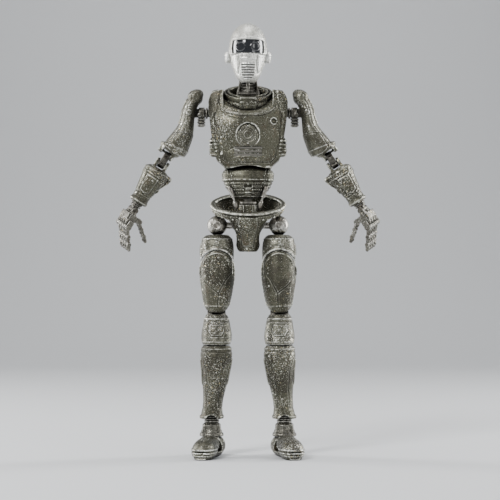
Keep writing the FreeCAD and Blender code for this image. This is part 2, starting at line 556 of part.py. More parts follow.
# ---------------------------------------------------------------- arms
def make_shoulder():
    """Hub that swings on the chest and ends in a tongue, and the curved upper arm on it."""
    pin = rod("hub_pin", "X", "hub_pin_r", "hub_pin_in_x", "arm_x", y="body_y", z="arm_z")
    knob = ball("hub_ball", "hub_r", "arm_x", "body_y", "arm_z")
    arm = slab("hub_tongue", ("arm_x", "raise_x"), ("body_y - raise_half", "body_y + raise_half"),
               ("arm_z - raise_r", "arm_z + raise_r"))
    tip = rod("hub_tip", "Y", "raise_r", "body_y - raise_half", "body_y + raise_half", x="raise_x", z="arm_z")
    bore = rod("hub_bore", "Y", "raise_pin_r + run_fit", "0 - far", "far", x="raise_x", z="arm_z")
    both_sides("shoulder_hub", cut("hub", fuse("hub_solid", pin, knob, arm, tip), bore))

    shell = skin("upper_arm_shell", "upper_arm")
    slots = [slab(f"upper_arm_slot_{part}", ("0", inner),
                  ("body_y - raise_half - gap", "body_y + raise_half + gap"), ("arm_z - slot_low", top))
             for part, inner, top in (("low", "raise_x + raise_r + gap", "arm_z + raise_r + gap"),
                                      ("high", "raise_x", "arm_z + slot_top"))]
    rooms = []
    for turn in ("raise_low", "raise_mid", "raise_high"):
        rooms.append(ball(f"hub_room_{turn}", "hub_r + gap",
                          f"raise_x - (raise_x - arm_x) * cos({turn} * 1 deg)",
                          "body_y", f"arm_z + (raise_x - arm_x) * sin({turn} * 1 deg)"))
    raise_pin = rod("raise_pin", "Y", "raise_pin_r", "body_y - raise_pin_half", "body_y + raise_pin_half",
                    x="raise_x", z="arm_z")
    fork = cut("upper_fork", along_arm(elbow_cheeks("upper", "0", "cheek_up"), 0 - SIZE["elbow_step"]),
               along_arm(elbow_room("upper"), 0 - SIZE["elbow_step"]))
    link_room = along_arm(elbow_room("upper_shell"), 0 - SIZE["elbow_step"])
    trimmed = cut("upper_arm_trim", shell, link_room, *slots, *rooms)
    upper_pin = along_arm(rod("upper_elbow_pin", "X", "elbow_pin_r", "0 - cheek_half", "cheek_half"),
                          0 - SIZE["elbow_step"])
    both_sides("upper_arm", fuse("upper_arm_body", trimmed, raise_pin, fork, upper_pin))


def elbow_cheeks(name, low, top):
    """Rounded end of a forked arm piece, about its hinge at the local origin."""
    block = slab(f"{name}_cheek_block", ("0 - cheek_half", "cheek_half"), ("0 - link_r", "link_r"),
                 (low, top))
    end = rod(f"{name}_cheek_end", "X", "link_r", "0 - cheek_half", "cheek_half")
    return fuse(f"{name}_cheeks", block, end)


def elbow_room(name):
    """Space for the elbow link between the cheeks of a fork."""
    return slab(f"{name}_elbow_room", ("0 - link_half - gap", "link_half + gap"), ("0 - far", "far"),
                ("0 - link_r - bite", "link_r + bite"))


def along_arm(item, drop, twist=0.0):
    """Lay a piece modelled hanging from the origin along the arm, a distance below the elbow."""
    lean = math.radians(SIZE["arm_lean"])
    x = SIZE["elbow_x"] + drop * math.sin(lean)
    z = SIZE["elbow_z"] - drop * math.cos(lean)
    frame = Placement(Vector(x, SIZE["body_y"], z),
                      Rotation(Y_AXIS, -SIZE["arm_lean"]).multiply(Rotation(Z_AXIS, twist)))
    holder = DOC.addObject("Part::Compound", f"{item.Name}_in_place")
    holder.Links = [item]
    holder.Placement = frame
    return holder


def make_elbow():
    """Link with two hinge bores and a round boss in front."""
    plate = slab("link_plate", ("0 - link_half", "link_half"), ("0 - link_r", "link_r"),
                 ("0 - elbow_step", "elbow_step"))
    ends = [rod(f"link_end_{side}", "X", "link_r", "0 - link_half", "link_half", z=z)
            for side, z in (("a", "elbow_step"), ("b", "0 - elbow_step"))]
    bores = [rod(f"link_bore_{side}", "X", "elbow_pin_r + run_fit", "0 - far", "far", z=z)
             for side, z in (("a", "elbow_step"), ("b", "0 - elbow_step"))]
    boss = rod("link_boss", "Y", "link_half", "0 - boss_out", "0")
    both_sides("elbow_link", along_arm(cut("link", fuse("link_solid", plate, boss, *ends), *bores), 0))


def make_forearm():
    """Tapered forearm with an elbow fork on top and a bore for the wrist below."""
    shell = skin("forearm_shell", "forearm")
    cheeks = elbow_cheeks("forearm", "0 - cheek_down", "0")
    room = elbow_room("forearm")
    pin = rod("forearm_pin", "X", "elbow_pin_r", "0 - cheek_half", "cheek_half")
    bore = rod("forearm_bore", "Z", "wrist_pin_r + run_fit", "0 - wrist_top - gap",
               "wrist_pin_long - wrist_top + gap")
    solid = cut("forearm_cut", fuse("forearm_solid", shell, cheeks), room, bore)
    both_sides("forearm", along_arm(fuse("forearm_body", solid, pin), SIZE["elbow_step"]))


def make_hand():
    """Wrist, palm, four fingers and thumb, modelled hanging below the forearm's hinge."""
    hand = (SIZE["elbow_step"], SIZE["hand_turn"])
    collar = rod("wrist_collar", "Z", "wrist_r", "0 - wrist_low", "0 - wrist_top")
    pin = rod("wrist_pin", "Z", "wrist_pin_r", "0 - wrist_top - gap", "wrist_pin_long - wrist_top")
    tongue = slab("wrist_tongue", ("0 - flex_r", "flex_r"), ("0 - flex_half", "flex_half"),
                  ("0 - flex_drop", "gap - wrist_low"))
    tip = rod("wrist_tip", "Y", "flex_r", "0 - flex_half", "flex_half", z="0 - flex_drop")
    bore = rod("wrist_bore", "Y", "flex_pin_r + run_fit", "0 - far", "far", z="0 - flex_drop")
    both_sides("wrist", along_arm(cut("wrist_body", fuse("wrist_solid", collar, pin, tongue, tip), bore),
                                  *hand))

    block = slab("palm_block", ("0 - palm_half", "palm_half"), ("0 - palm_half_y", "palm_half_y"),
                 ("0 - palm_low", "0 - palm_top"))
    fork = slab("palm_fork", ("0 - flex_r", "flex_r"), ("0 - palm_ear_half", "palm_ear_half"),
                ("0 - palm_top - gap", "0 - flex_drop"))
    fork_end = rod("palm_fork_end", "Y", "flex_r", "0 - palm_ear_half", "palm_ear_half", z="0 - flex_drop")
    fork_room = slab("palm_fork_room", ("0 - far", "far"), ("0 - flex_half - gap", "flex_half + gap"),
                     ("0 - palm_top", "0"))
    lower_room = rod("palm_tip_room", "Y", "flex_r + gap", "0 - flex_half - gap", "flex_half + gap",
                     z="0 - flex_drop")
    flex_pin = rod("palm_flex_pin", "Y", "flex_pin_r", "0 - palm_ear_half", "palm_ear_half",
                   z="0 - flex_drop")
    ears = []
    for side, low, high in (("a", "hand_ear_in", "hand_ear_out"),
                            ("b", "0 - hand_ear_out", "0 - hand_ear_in")):
        ears.append(slab(f"palm_ear_{side}", ("0 - knuckle_r", "knuckle_r"), (low, high),
                         ("0 - knuckle_drop", "bite - palm_low")))
        ears.append(rod(f"palm_ear_end_{side}", "Y", "knuckle_r", low, high, z="0 - knuckle_drop"))
    rail = rod("knuckle_pin", "Y", "knuckle_pin_r", "0 - hand_ear_out", "hand_ear_out", z="0 - knuckle_drop")
    thumb_ears = []
    for side, low, high in (("a", "thumb_y + finger_half + gap", "thumb_y + finger_half + gap + thumb_ear"),
                            ("b", "thumb_y - finger_half - gap - thumb_ear", "thumb_y - finger_half - gap")):
        thumb_ears.append(slab(f"thumb_ear_{side}", ("thumb_x", "0"), (low, high),
                               ("0 - thumb_drop - finger_r", "finger_r - thumb_drop")))
        thumb_ears.append(rod(f"thumb_ear_end_{side}", "Y", "finger_r", low, high, x="thumb_x",
                              z="0 - thumb_drop"))
    thumb_pin = rod("thumb_pin", "Y", "knuckle_pin_r", "thumb_y - finger_half - gap - thumb_ear",
                    "thumb_y + finger_half + gap + thumb_ear", x="thumb_x", z="0 - thumb_drop")
    thumb_room = rod("palm_thumb_room", "Y", "knuckle_r + gap", "thumb_y - finger_half - gap",
                     "thumb_y + finger_half + gap", x="thumb_x", z="0 - thumb_drop")
    body = cut("palm_cut", fuse("palm_solid", block, fork, fork_end), fork_room, lower_room, thumb_room)
    palm = fuse("palm", body, flex_pin, rail, thumb_pin, *ears, *thumb_ears)
    both_sides("palm", along_arm(palm, *hand))

    for index in range(4):
        row = f"finger_pitch * {index - 1.5}"
        both_sides(f"finger_{index + 1}", along_arm(
            finger(f"finger_{index + 1}", 0, SIZE["finger_pitch"] * (index - 1.5), -SIZE["knuckle_drop"],
                   SIZE["arm_lean"] + SIZE["finger_lean"], SIZE["first_bone"]), *hand))
    both_sides("thumb", along_arm(
        finger("thumb", SIZE["thumb_x"], SIZE["thumb_y"], -SIZE["thumb_drop"],
               SIZE["arm_lean"] + SIZE["thumb_lean"], SIZE["thumb_bone"]), *hand))


def finger(name, x, y, z, lean, first):
    """Three jointed bones with a bored knuckle, hung at a point and leaning inwards."""
    knuckle = rod(f"{name}_knuckle", "Y", "knuckle_r", "0 - finger_half", "finger_half")
    bones = [knuckle]
    level = 0.0
    for index, long in enumerate((first, SIZE["next_bone"], SIZE["tip_bone"])):
        bones.append(cone(f"{name}_bone_{index}", "finger_r - finger_taper", "finger_r",
                          f"0 - {round(level + long, 3)}", f"0 - {round(level, 3)}"))
        level += long
        if index < 2:
            bones.append(rod(f"{name}_disc_{index}", "Y", "finger_r", "0 - finger_half", "finger_half",
                             z=f"0 - {round(level, 3)}"))
    bones.append(ball(f"{name}_tip", "finger_r - tip_ease", "0", "0", f"0 - {round(level, 3)}"))
    bore = rod(f"{name}_bore", "Y", "knuckle_pin_r + run_fit", "0 - far", "far")
    solid = cut(f"{name}_body", fuse(f"{name}_solid", *bones), bore)
    solid.Placement = Placement(Vector(x, y, z), Rotation(Y_AXIS, lean))
    return solid


# ---------------------------------------------------------------- legs
def make_hip():
    """Ball with a pin into the pelvis and a stem down into the thigh cap."""
    knob = ball("hip_knob", "ball_r", "hip_x", "body_y", "hip_z")
    pin = rod("hip_pin", "X", "hip_pin_r", "hip_pin_in_x", "hip_x", y="body_y", z="hip_z")
    stem = rod("hip_stem", "Z", "stem_r", "stem_low_z", "hip_z", x="hip_x", y="body_y")
    screw = rod("hip_screw_well", "Y", "screw_r", "0 - far", "body_y - ball_r + screw_deep", x="hip_x",
                z="hip_z")
    both_sides("hip_ball", cut("hip", fuse("hip_solid", knob, pin, stem), screw))


def make_thigh():
    """Cap that twists on the hip stem, thigh that splays under it, and a guard at the back."""
    cap = skin("cap_shell", "thigh_cap")
    seam = rod("cap_seam", "Y", "cap_seam_r", "0 - far", "far", x="hip_x", z="splay_z")
    arm = slab("cap_arm", ("hip_x - splay_arm_half", "hip_x + splay_arm_half"),
               ("body_y - splay_half", "body_y + splay_half"),
               ("splay_z", "splay_z + cap_seam_r + cap_arm_root"))
    tip = rod("cap_arm_tip", "Y", "splay_arm_half", "body_y - splay_half", "body_y + splay_half",
              x="hip_x", z="splay_z")
    bores = [ball("cap_cup", "ball_r + ball_room", "hip_x", "body_y", "hip_z"),
             rod("cap_stem_bore", "Z", "stem_r + run_fit", "stem_low_z - gap", "sky", x="hip_x", y="body_y"),
             rod("cap_splay_bore", "Y", "splay_pin_r + run_fit", "0 - far", "far", x="hip_x", z="splay_z")]
    solid = fuse("cap_solid", cut("cap_trim", cap, seam), arm, tip)
    both_sides("thigh_cap", cut("cap", solid, *bores))

    pocket = rod("thigh_pocket", "X", "knee_cheek_r + gap + knee_ease", "leg_x - knee_cheek_half - gap",
                 "leg_x + knee_cheek_half + gap", y="body_y", z="knee_z")
    lower = cut("thigh_pocketed", thigh_shell("thigh", "0"), pocket)
    both_sides("thigh", fuse("thigh_body", lower, splay_pin("thigh_pin"), knee_tongue()))
    around = cut("guard_skin", thigh_shell("guard", "guard_thick"), thigh_shell("guard_core", "0"))
    zone = slab("guard_zone", ("0", "far"), ("body_y + splay_half + guard_thick", "far"),
                ("guard_low_z", "guard_top_z"))
    both_sides("thigh_guard", common("guard", around, zone))


def splay_pin(name):
    return rod(name, "Y", "splay_pin_r", "body_y - splay_pin_half", "body_y + splay_pin_half",
               x="hip_x", z="splay_z")


def thigh_shell(name, offset):
    """Thigh with a round top under the cap and a slot for the cap's arm."""
    shell = skin(f"{name}_skin", "thigh", offset)
    above = slab(f"{name}_above", ("0", "far"), ("0 - far", "far"), ("splay_z", "sky"))
    dome = rod(f"{name}_dome", "Y", "cap_seam_r - seam", "0 - far * 2", "far * 2", x="hip_x", z="splay_z")
    slot = slab(f"{name}_slot", ("0", "far"), ("body_y - splay_half - gap", "body_y + splay_half + gap"),
                ("splay_z - splay_arm_half - splay_ease", "sky"))
    return cut(f"{name}_shell", shell, cut(f"{name}_over", above, dome), slot)


def knee_tongue():
    """Round tongue below the thigh, bored for the upper knee pin."""
    bar = slab("knee_bar", ("leg_x - knee_half", "leg_x + knee_half"), ("body_y - knee_r", "body_y + knee_r"),
               ("knee_z", "knee_z + knee_bar_long"))
    end = rod("knee_bar_end", "X", "knee_r", "leg_x - knee_half", "leg_x + knee_half", y="body_y", z="knee_z")
    bore = rod("knee_bar_bore", "X", "knee_pin_r + run_fit", "0", "far", y="body_y", z="knee_z")
    return cut("knee_bar_body", fuse("knee_bar_solid", bar, end), bore)


def make_knee():
    """Forked link between two knee pins, and the round cap over its front."""
    cheeks = []
    for side, low, high in (("a", "leg_x + knee_half + gap", "leg_x + knee_cheek_half"),
                            ("b", "leg_x - knee_cheek_half", "leg_x - knee_half - gap")):
        cheeks.append(slab(f"knee_cheek_{side}", (low, high),
                           ("body_y - cap_hollow_y", "body_y + knee_cheek_r"),
                           ("knee_low_z", "knee_z")))
        for end, z in (("top", "knee_z"), ("low", "knee_low_z")):
            cheeks.append(rod(f"knee_cheek_{side}_{end}", "X", "knee_cheek_r", low, high, y="body_y", z=z))
    pins = [rod(f"knee_pin_{end}", "X", "knee_pin_r", "leg_x - knee_cheek_half", "leg_x + knee_cheek_half",
                y="body_y", z=z) for end, z in (("top", "knee_z"), ("low", "knee_low_z"))]
    web = slab("knee_web", ("leg_x - knee_cheek_half", "leg_x + knee_cheek_half"),
               ("body_y - cap_hollow_y", "body_y - knee_web_y"), ("knee_low_z", "knee_z"))
    both_sides("knee_link", fuse("knee_link", web, *cheeks, *pins))

    shell = skin("knee_shell", "knee_cap")
    hollow = slab("knee_hollow", ("leg_x - cap_hollow_half", "leg_x + cap_hollow_half"),
                  ("body_y - cap_hollow_y", "far"), ("0", "sky"))
    back = slab("knee_back", ("0", "far"), ("body_y", "far"), ("0", "sky"))
    both_sides("knee_cap", cut("knee_cap", shell, hollow, back))


def make_shin():
    """Shin with a tongue for the lower knee pin and a slot and pin for the ankle."""
    shell = skin("shin_shell", "shin")
    pocket = rod("shin_pocket", "X", "shin_pocket_r", "leg_x - knee_cheek_half - gap",
                 "leg_x + knee_cheek_half + gap",
                 y="body_y", z="knee_low_z")
    bar = slab("shin_bar", ("leg_x - knee_half", "leg_x + knee_half"), ("body_y - knee_r", "body_y + knee_r"),
               ("knee_low_z - knee_bar_long", "knee_low_z"))
    end = rod("shin_bar_end", "X", "knee_r", "leg_x - knee_half", "leg_x + knee_half", y="body_y",
              z="knee_low_z")
    bore = rod("shin_bar_bore", "X", "knee_pin_r + run_fit", "0", "far", y="body_y", z="knee_low_z")
    slot = rod("shin_slot", "X", "ankle_r + gap", "ankle_x - ankle_half - gap", "ankle_x + ankle_half + gap",
               y="ankle_y", z="ankle_z")
    arch = rod("shin_arch", "Y", "shin_arch_r", "0 - far", "far", x="ankle_x", z="ankle_z - shin_arch_drop")
    pin = rod("ankle_pin", "X", "ankle_pin_r", "ankle_x - ankle_pin_half", "ankle_x + ankle_pin_half",
              y="ankle_y", z="ankle_z")
    top = fuse("shin_top", cut("shin_hollow", shell, pocket), bar, end)
    both_sides("shin", fuse("shin", cut("shin_cut", top, bore, slot, arch), pin))


def make_ankle():
    """Ankle block with a pitch tongue above and a roll tongue below."""
    block = cone("ankle_cone", "block_low_r", "block_top_r", "block_low_z", "block_top_z")
    up = slab("ankle_up", ("0 - ankle_half", "ankle_half"), ("0 - ankle_r", "ankle_r"),
              ("block_low_z", "ankle_z"))
    up_end = rod("ankle_up_end", "X", "ankle_r", "0 - ankle_half", "ankle_half", z="ankle_z")
    up_bore = rod("ankle_up_bore", "X", "ankle_pin_r + run_fit", "0 - far", "far", z="ankle_z")
    down = slab("ankle_down", ("0 - roll_r", "roll_r"), ("0 - roll_half", "roll_half"),
                ("roll_z", "block_low_z + bite"))
    down_end = rod("ankle_down_end", "Y", "roll_r", "0 - roll_half", "roll_half", z="roll_z")
    down_bore = rod("ankle_down_bore", "Y", "roll_pin_r + run_fit", "0 - far", "far", z="roll_z")
    lower = cut("ankle_lower", fuse("ankle_lower_solid", down, down_end), down_bore)
    lower.Placement = Placement(Vector(0, 0, 0), Rotation(Z_AXIS, SIZE["toe_out"]))
    body = cut("ankle_core", fuse("ankle_solid", block, up, up_end, lower), up_bore)
    both_sides("ankle", put(body, "ankle_x", "ankle_y", "0"))


def foot_form(name):
    """Whole foot from heel to toe tip, flat on the floor."""
    floor = slab(f"{name}_floor", ("0 - far", "far"), ("0 - far", "far"), ("0 - far", "0"))
    return cut(f"{name}_form", skin(f"{name}_skin", "foot", lying=True), floor)


def toe_sector(name, radius, low_turn, angle):
    """Slice of a round bar about the toe hinge, on the ankle's side of it."""
    slice_bar = DOC.addObject("Part::Cylinder", name)
    bind(slice_bar, Radius=radius, Height="far")
    slice_bar.Angle = angle
    turn = Rotation(Y_AXIS, 90).multiply(Rotation(Z_AXIS, 90 + low_turn))
    return put(slice_bar, "0 - far / 2", "toe_y", "toe_z", turn)


def place_foot(item):
    """Stand a foot piece below the ankle, turned outwards."""
    return put(item, "ankle_x", "ankle_y", "0", Rotation(Z_AXIS, SIZE["toe_out"]))


def make_foot():
    """Foot with an ankle slot, and a toe cap on a cross hinge that can lift."""
    cuff = rod("foot_cuff_room", "Z", "block_low_r + bite", "block_low_z - block_gap", "far")
    slot = slab("foot_slot", ("0 - roll_r - foot_slot_ease", "roll_r + foot_slot_ease"),
                ("0 - roll_half - gap", "roll_half + gap"),
                ("roll_z - roll_r - roll_ease", "far"))
    ahead = slab("foot_ahead", ("0 - far", "far"), ("0 - far", "toe_y + gap"), ("0 - far", "far"))
    seam = toe_sector("foot_seam", "toe_seam_r + gap", 0, 90)
    hub_room = rod("toe_hub_room", "X", "toe_hub_r + gap", "0 - toe_hub_half - gap", "toe_hub_half + gap",
                   y="toe_y", z="toe_z")
    roll_pin = rod("roll_pin", "Y", "roll_pin_r", "0 - roll_pin_half", "roll_pin_half", z="roll_z")
    lugs = []
    for side, low, high in (("a", "toe_hub_half + gap", "toe_pin_half"),
                            ("b", "0 - toe_pin_half", "0 - toe_hub_half - gap")):
        lugs.append(rod(f"toe_lug_{side}", "X", "toe_hub_r", low, high, y="toe_y", z="toe_z"))
    toe_pin = rod("toe_pin", "X", "toe_pin_r", "0 - toe_pin_half", "toe_pin_half", y="toe_y", z="toe_z")
    shell = cut("foot_shell", foot_form("foot"), cuff, slot, ahead, seam, hub_room)
    both_sides("foot", place_foot(fuse("foot", shell, roll_pin, toe_pin, *lugs)))

    behind = slab("toe_behind", ("0 - far", "far"), ("toe_y", "far"), ("0 - far", "far"))
    lap = common("toe_lap", foot_form("toe_lap"), toe_sector("toe_lap_slice", "toe_seam_r", SIZE["toe_lap"],
                                                              90 - SIZE["toe_lap"]))
    lug_room = [rod(f"toe_lug_room_{side}", "X", "toe_hub_r + gap", low, high, y="toe_y", z="toe_z")
                for side, low, high in (("a", "toe_hub_half", "far"), ("b", "0 - far", "0 - toe_hub_half"))]
    hub = rod("toe_hub", "X", "toe_hub_r", "0 - toe_hub_half", "toe_hub_half", y="toe_y", z="toe_z")
    hub_bore = rod("toe_hub_bore", "X", "toe_pin_r + run_fit", "0 - toe_hub_half - bite",
                   "toe_hub_half + bite",
                   y="toe_y", z="toe_z")
    ribs = [slab(f"toe_rib_{index}", ("0 - far", "far"), ("0 - far", "toe_rib_y"),
                 (f"toe_rib_z + toe_rib_pitch * {index}",
                  f"toe_rib_z + toe_rib_high + toe_rib_pitch * {index}"))
            for index in range(3)]
    front = cut("toe_front", foot_form("toe"), behind, *ribs, *lug_room)
    solid = fuse("toe_solid", front, cut("toe_lap_trim", lap, *lug_room), hub)
    both_sides("toe_cap", place_foot(cut("toe", solid, hub_bore)))


# ---------------------------------------------------------------- build and export
def build():
    fill_sheet()
    make_pelvis()
    make_waist()
    make_abdomen()
    make_chest()
    make_collar()
    make_neck()
    make_head()
    make_shoulder()
    make_elbow()
    make_forearm()
    make_hand()
    make_hip()
    make_thigh()
    make_knee()
    make_shin()
    make_ankle()
    make_foot()
    DOC.recompute()


def check():
    """Stop if any feature failed or any piece is empty or invalid."""
    for item in DOC.Objects:
        if "Invalid" in item.State or "Error" in item.State:
            raise ValueError(f"{item.Name} failed: {item.State}")
    for name, item in NODES:
        if item.Shape.isNull() or not item.Shape.isValid() or not item.Shape.Solids:
            raise ValueError(f"{name} is not a valid solid")


def export():
    os.makedirs("parts", exist_ok=True)
    for name, item in NODES:
        item.Shape.exportStep(f"parts/{name}.step")


build()
check()
export()
print(f"{len(NODES)} pieces written")
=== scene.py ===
import json
from math import cos, pi, radians, sin, sqrt, tan
import bmesh
import bpy
import numpy as np
from mathutils import Matrix, Vector


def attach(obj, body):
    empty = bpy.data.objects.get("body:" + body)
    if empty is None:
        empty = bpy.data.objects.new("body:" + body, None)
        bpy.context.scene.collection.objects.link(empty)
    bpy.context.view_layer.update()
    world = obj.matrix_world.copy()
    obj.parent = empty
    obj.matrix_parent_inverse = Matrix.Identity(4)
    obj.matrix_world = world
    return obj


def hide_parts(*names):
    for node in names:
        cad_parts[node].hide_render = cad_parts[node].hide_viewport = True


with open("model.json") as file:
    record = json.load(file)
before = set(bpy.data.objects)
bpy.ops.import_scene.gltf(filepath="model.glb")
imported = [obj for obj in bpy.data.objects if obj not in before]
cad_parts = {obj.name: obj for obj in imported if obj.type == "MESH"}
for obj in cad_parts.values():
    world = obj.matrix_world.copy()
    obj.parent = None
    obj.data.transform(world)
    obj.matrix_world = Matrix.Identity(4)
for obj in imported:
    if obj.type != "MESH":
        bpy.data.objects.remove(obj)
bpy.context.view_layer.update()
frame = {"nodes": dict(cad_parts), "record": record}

MM = 0.001
NODES = frame["nodes"]
BODY_OF = {n: b for b, members in frame["record"]["behaviour"]["bodies"].items() for n in members}
SLOT_OF = {s["node"]: s["material_slot"] for s in frame["record"]["subparts"]}
SIDES = {"left": 1, "right": -1}

# places on the figure, in millimetres, and turns; the right limbs mirror the left ones
BODY_Y = 5.0
COLLAR = (0.0, 3.0, 253.4)
COLLAR_TILT = radians(21.0)
COLLAR_R = 16.75
COVER_Z = 222.0
SHOULDER_Z = 237.8
ELBOW = (58.0, BODY_Y, 205.3)
ARM_LEAN = radians(32.3)
ELBOW_STEP = 3.2
HAND_TURN = -30.0
KNUCKLE_Z, THUMB_ROOT = -49.4, (-6.0, -4.2, -42.4)
FINGER_PITCH = 4.0
HIP = (21.3, BODY_Y, 160.0)
THIGH_X, SPLAY_Z = 21.5, 131.3
KNEE_X = 21.8
ANKLE_X, ANKLE_Y = 25.3, 8.5
FOOT_TURN = radians(12.0)


# ------------------------------------------------------------------ materials
class Nodes:
    """Short way to write a shader tree."""

    def __init__(self, name):
        self.material = bpy.data.materials.new(name)
        self.material.use_nodes = True
        self.tree = self.material.node_tree
        self.shader = self.tree.nodes["Principled BSDF"]
        coordinate = self.tree.nodes.new("ShaderNodeTexCoord")
        self.place = coordinate.outputs["Object"]

    def add(self, kind, settings=None, **inputs):
        node = self.tree.nodes.new(kind)
        for key, setting in (settings or {}).items():
            setattr(node, key, setting)
        for key, source in inputs.items():
            socket = node.inputs[int(key[1:])] if key[0] == "i" and key[1:].isdigit() else node.inputs[key]
            if isinstance(source, bpy.types.NodeSocket):
                self.tree.links.new(source, socket)
            else:
                socket.default_value = source
        return node

    def noise(self, scale, detail=4.0, rough=0.6, distort=0.0):
        return self.add("ShaderNodeTexNoise", Vector=self.place, Scale=scale, Detail=detail,
                        Roughness=rough, Distortion=distort).outputs["Fac"]

    def step(self, value, low, high, out_low=0.0, out_high=1.0):
        node = self.add("ShaderNodeMapRange", {"interpolation_type": "SMOOTHSTEP"}, i0=value)
        for index, number in enumerate((low, high, out_low, out_high), 1):
            node.inputs[index].default_value = number
        return node.outputs[0]

    def math(self, operation, first, second=0.0):
        return self.add("ShaderNodeMath", {"operation": operation}, i0=first, i1=second).outputs[0]

    def mix(self, amount, first, second):
        node = self.tree.nodes.new("ShaderNodeMix")
        node.data_type = "RGBA"
        for socket, source in ((node.inputs[0], amount), (node.inputs[6], first), (node.inputs[7], second)):
            if isinstance(source, bpy.types.NodeSocket):
                self.tree.links.new(source, socket)
            else:
                socket.default_value = source if isinstance(source, float) else (*source, 1.0)
        return node.outputs[2]

    def edges(self, low, high):
        pointy = self.tree.nodes.new("ShaderNodeNewGeometry").outputs["Pointiness"]
        return self.step(pointy, low, high)

    def shade(self, distance=0.004):
        node = self.add("ShaderNodeAmbientOcclusion", {"samples": 8}, Distance=distance)
        return node.outputs["AO"]

    def finish(self, color, metallic, roughness, height, strength=0.35, distance=0.0003):
        links = self.tree.links
        links.new(color, self.shader.inputs["Base Color"])
        if isinstance(metallic, bpy.types.NodeSocket):
            links.new(metallic, self.shader.inputs["Metallic"])
        else:
            self.shader.inputs["Metallic"].default_value = metallic
        links.new(roughness, self.shader.inputs["Roughness"])
        bump = self.add("ShaderNodeBump", Height=height, Strength=strength, Distance=distance)
        links.new(bump.outputs["Normal"], self.shader.inputs["Normal"])
        return self.material


def weathered(name, base, patch, rust, worn, dusting=0.5, wear=0.5, metallic=0.75, gloss=0.40):
    """Cast metal finish: mottled patches, rust film, dry-brushed speckle, rubbed edges and painted shade in
    seams, creases and hollows.
    """
    n = Nodes(name)
    broad = n.noise(48.0, 5.0, 0.65, 0.5)
    grit = n.noise(1150.0, 4.0, 0.8)
    grain = n.noise(520.0, 6.0, 0.75)
    color = n.mix(n.step(broad, 0.40, 0.60), base, patch)
    color = n.mix(n.math("MULTIPLY", n.step(n.noise(105.0, 6.0, 0.7, 0.8), 0.54, 0.68), 0.35), color, rust)
    color = n.mix(n.math("MULTIPLY", n.step(grit, 0.50, 0.38), 0.75), color, [0.18 * c for c in base])
    # light metal rubbed over the grain, thicker in some places than others
    density = n.step(n.noise(34.0, 4.0, 0.6), 0.36, 0.64, 0.035, 0.115)
    lifted = n.math("ADD", grit, density)
    brushed = n.math("MULTIPLY", n.step(lifted, 0.69 - 0.05 * dusting, 0.75 - 0.05 * dusting), 0.85)
    gilt = n.math("MULTIPLY", n.step(n.math("ADD", n.noise(640.0, 3.0, 0.75), density), 0.745, 0.765), 0.9)
    rub = n.math("MULTIPLY", n.edges(0.512, 0.56), n.step(grain, 0.40, 0.56))
    bright = n.math("MAXIMUM", brushed, n.math("MULTIPLY", rub, 2.0 * wear))
    bright = n.math("MINIMUM", bright, 1.0)
    color = n.mix(bright, color, worn)
    color = n.mix(gilt, color, GILT)
    # painted shade: colour darkened toward a near-black where ambient occlusion finds hollows, seams and
    # nearby parts, and along inward creases
    painted_shade = n.math("MAXIMUM", n.step(n.shade(), 0.82, 0.35), n.math("MULTIPLY", n.edges(0.492, 0.455), 0.9))
    color = n.mix(n.math("MULTIPLY", painted_shade, 0.88), color, PAINTED_SHADE_COLOR)
    rough = n.step(n.math("ADD", n.math("MULTIPLY", grain, 0.6), n.math("MULTIPLY", broad, 0.4)), 0.32, 0.68,
                   gloss - 0.14, gloss + 0.20)
    height = n.math("ADD", n.math("MULTIPLY", grit, 0.8), n.math("MULTIPLY", grain, 0.6))
    return n.finish(color, metallic, rough, height, 0.55, 0.00035)


def bare_metal(name, base, dark, gloss=0.3, grain=600.0):
    """Worn bare metal with fine scratches, pits and painted shade in hollows."""
    n = Nodes(name)
    fine = n.noise(grain, 6.0, 0.7)
    stretched = n.add("ShaderNodeMapping", Vector=n.place, Scale=(1.0, 1.0, 0.08)).outputs[0]
    scratch = n.add("ShaderNodeTexNoise", Vector=stretched, Scale=1500.0, Detail=3.0).outputs["Fac"]
    stain = n.step(n.noise(130.0, 6.0, 0.7, 0.8), 0.42, 0.62)
    color = n.mix(n.math("MULTIPLY", stain, 0.8), base, dark)
    color = n.mix(n.math("MULTIPLY", n.step(n.noise(1100.0, 4.0, 0.8), 0.50, 0.40), 0.6), color,
                  [0.25 * c for c in base])
    rub = n.math("MULTIPLY", n.edges(0.515, 0.56), 0.9)
    color = n.mix(rub, color, [min(1.0, 1.5 * c) for c in base])
    # painted shade: colour darkened toward near-black where ambient occlusion finds hollows and nearby parts
    color = n.mix(n.math("MULTIPLY", n.step(n.shade(0.003), 0.78, 0.28), 0.9), color, (0.012, 0.010, 0.008))
    rough = n.step(n.math("ADD", n.math("MULTIPLY", scratch, 0.5), n.math("MULTIPLY", fine, 0.5)), 0.35, 0.65,
                   gloss - 0.08, gloss + 0.22)
    return n.finish(color, 1.0, rough, n.math("ADD", scratch, fine), 0.3, 0.0002)


def dark_glass(name):
    """Dark sensor window with a little dust."""
    n = Nodes(name)
    dust = n.step(n.noise(500.0, 8.0, 0.8), 0.60, 0.78)
    color = n.mix(n.math("MULTIPLY", dust, 0.3), (0.012, 0.013, 0.015), (0.08, 0.08, 0.07))
    n.shader.inputs["Coat Weight"].default_value = 0.6
    return n.finish(color, 0.0, n.step(dust, 0.0, 1.0, 0.12, 0.45), n.noise(900.0), 0.05, 0.0001)


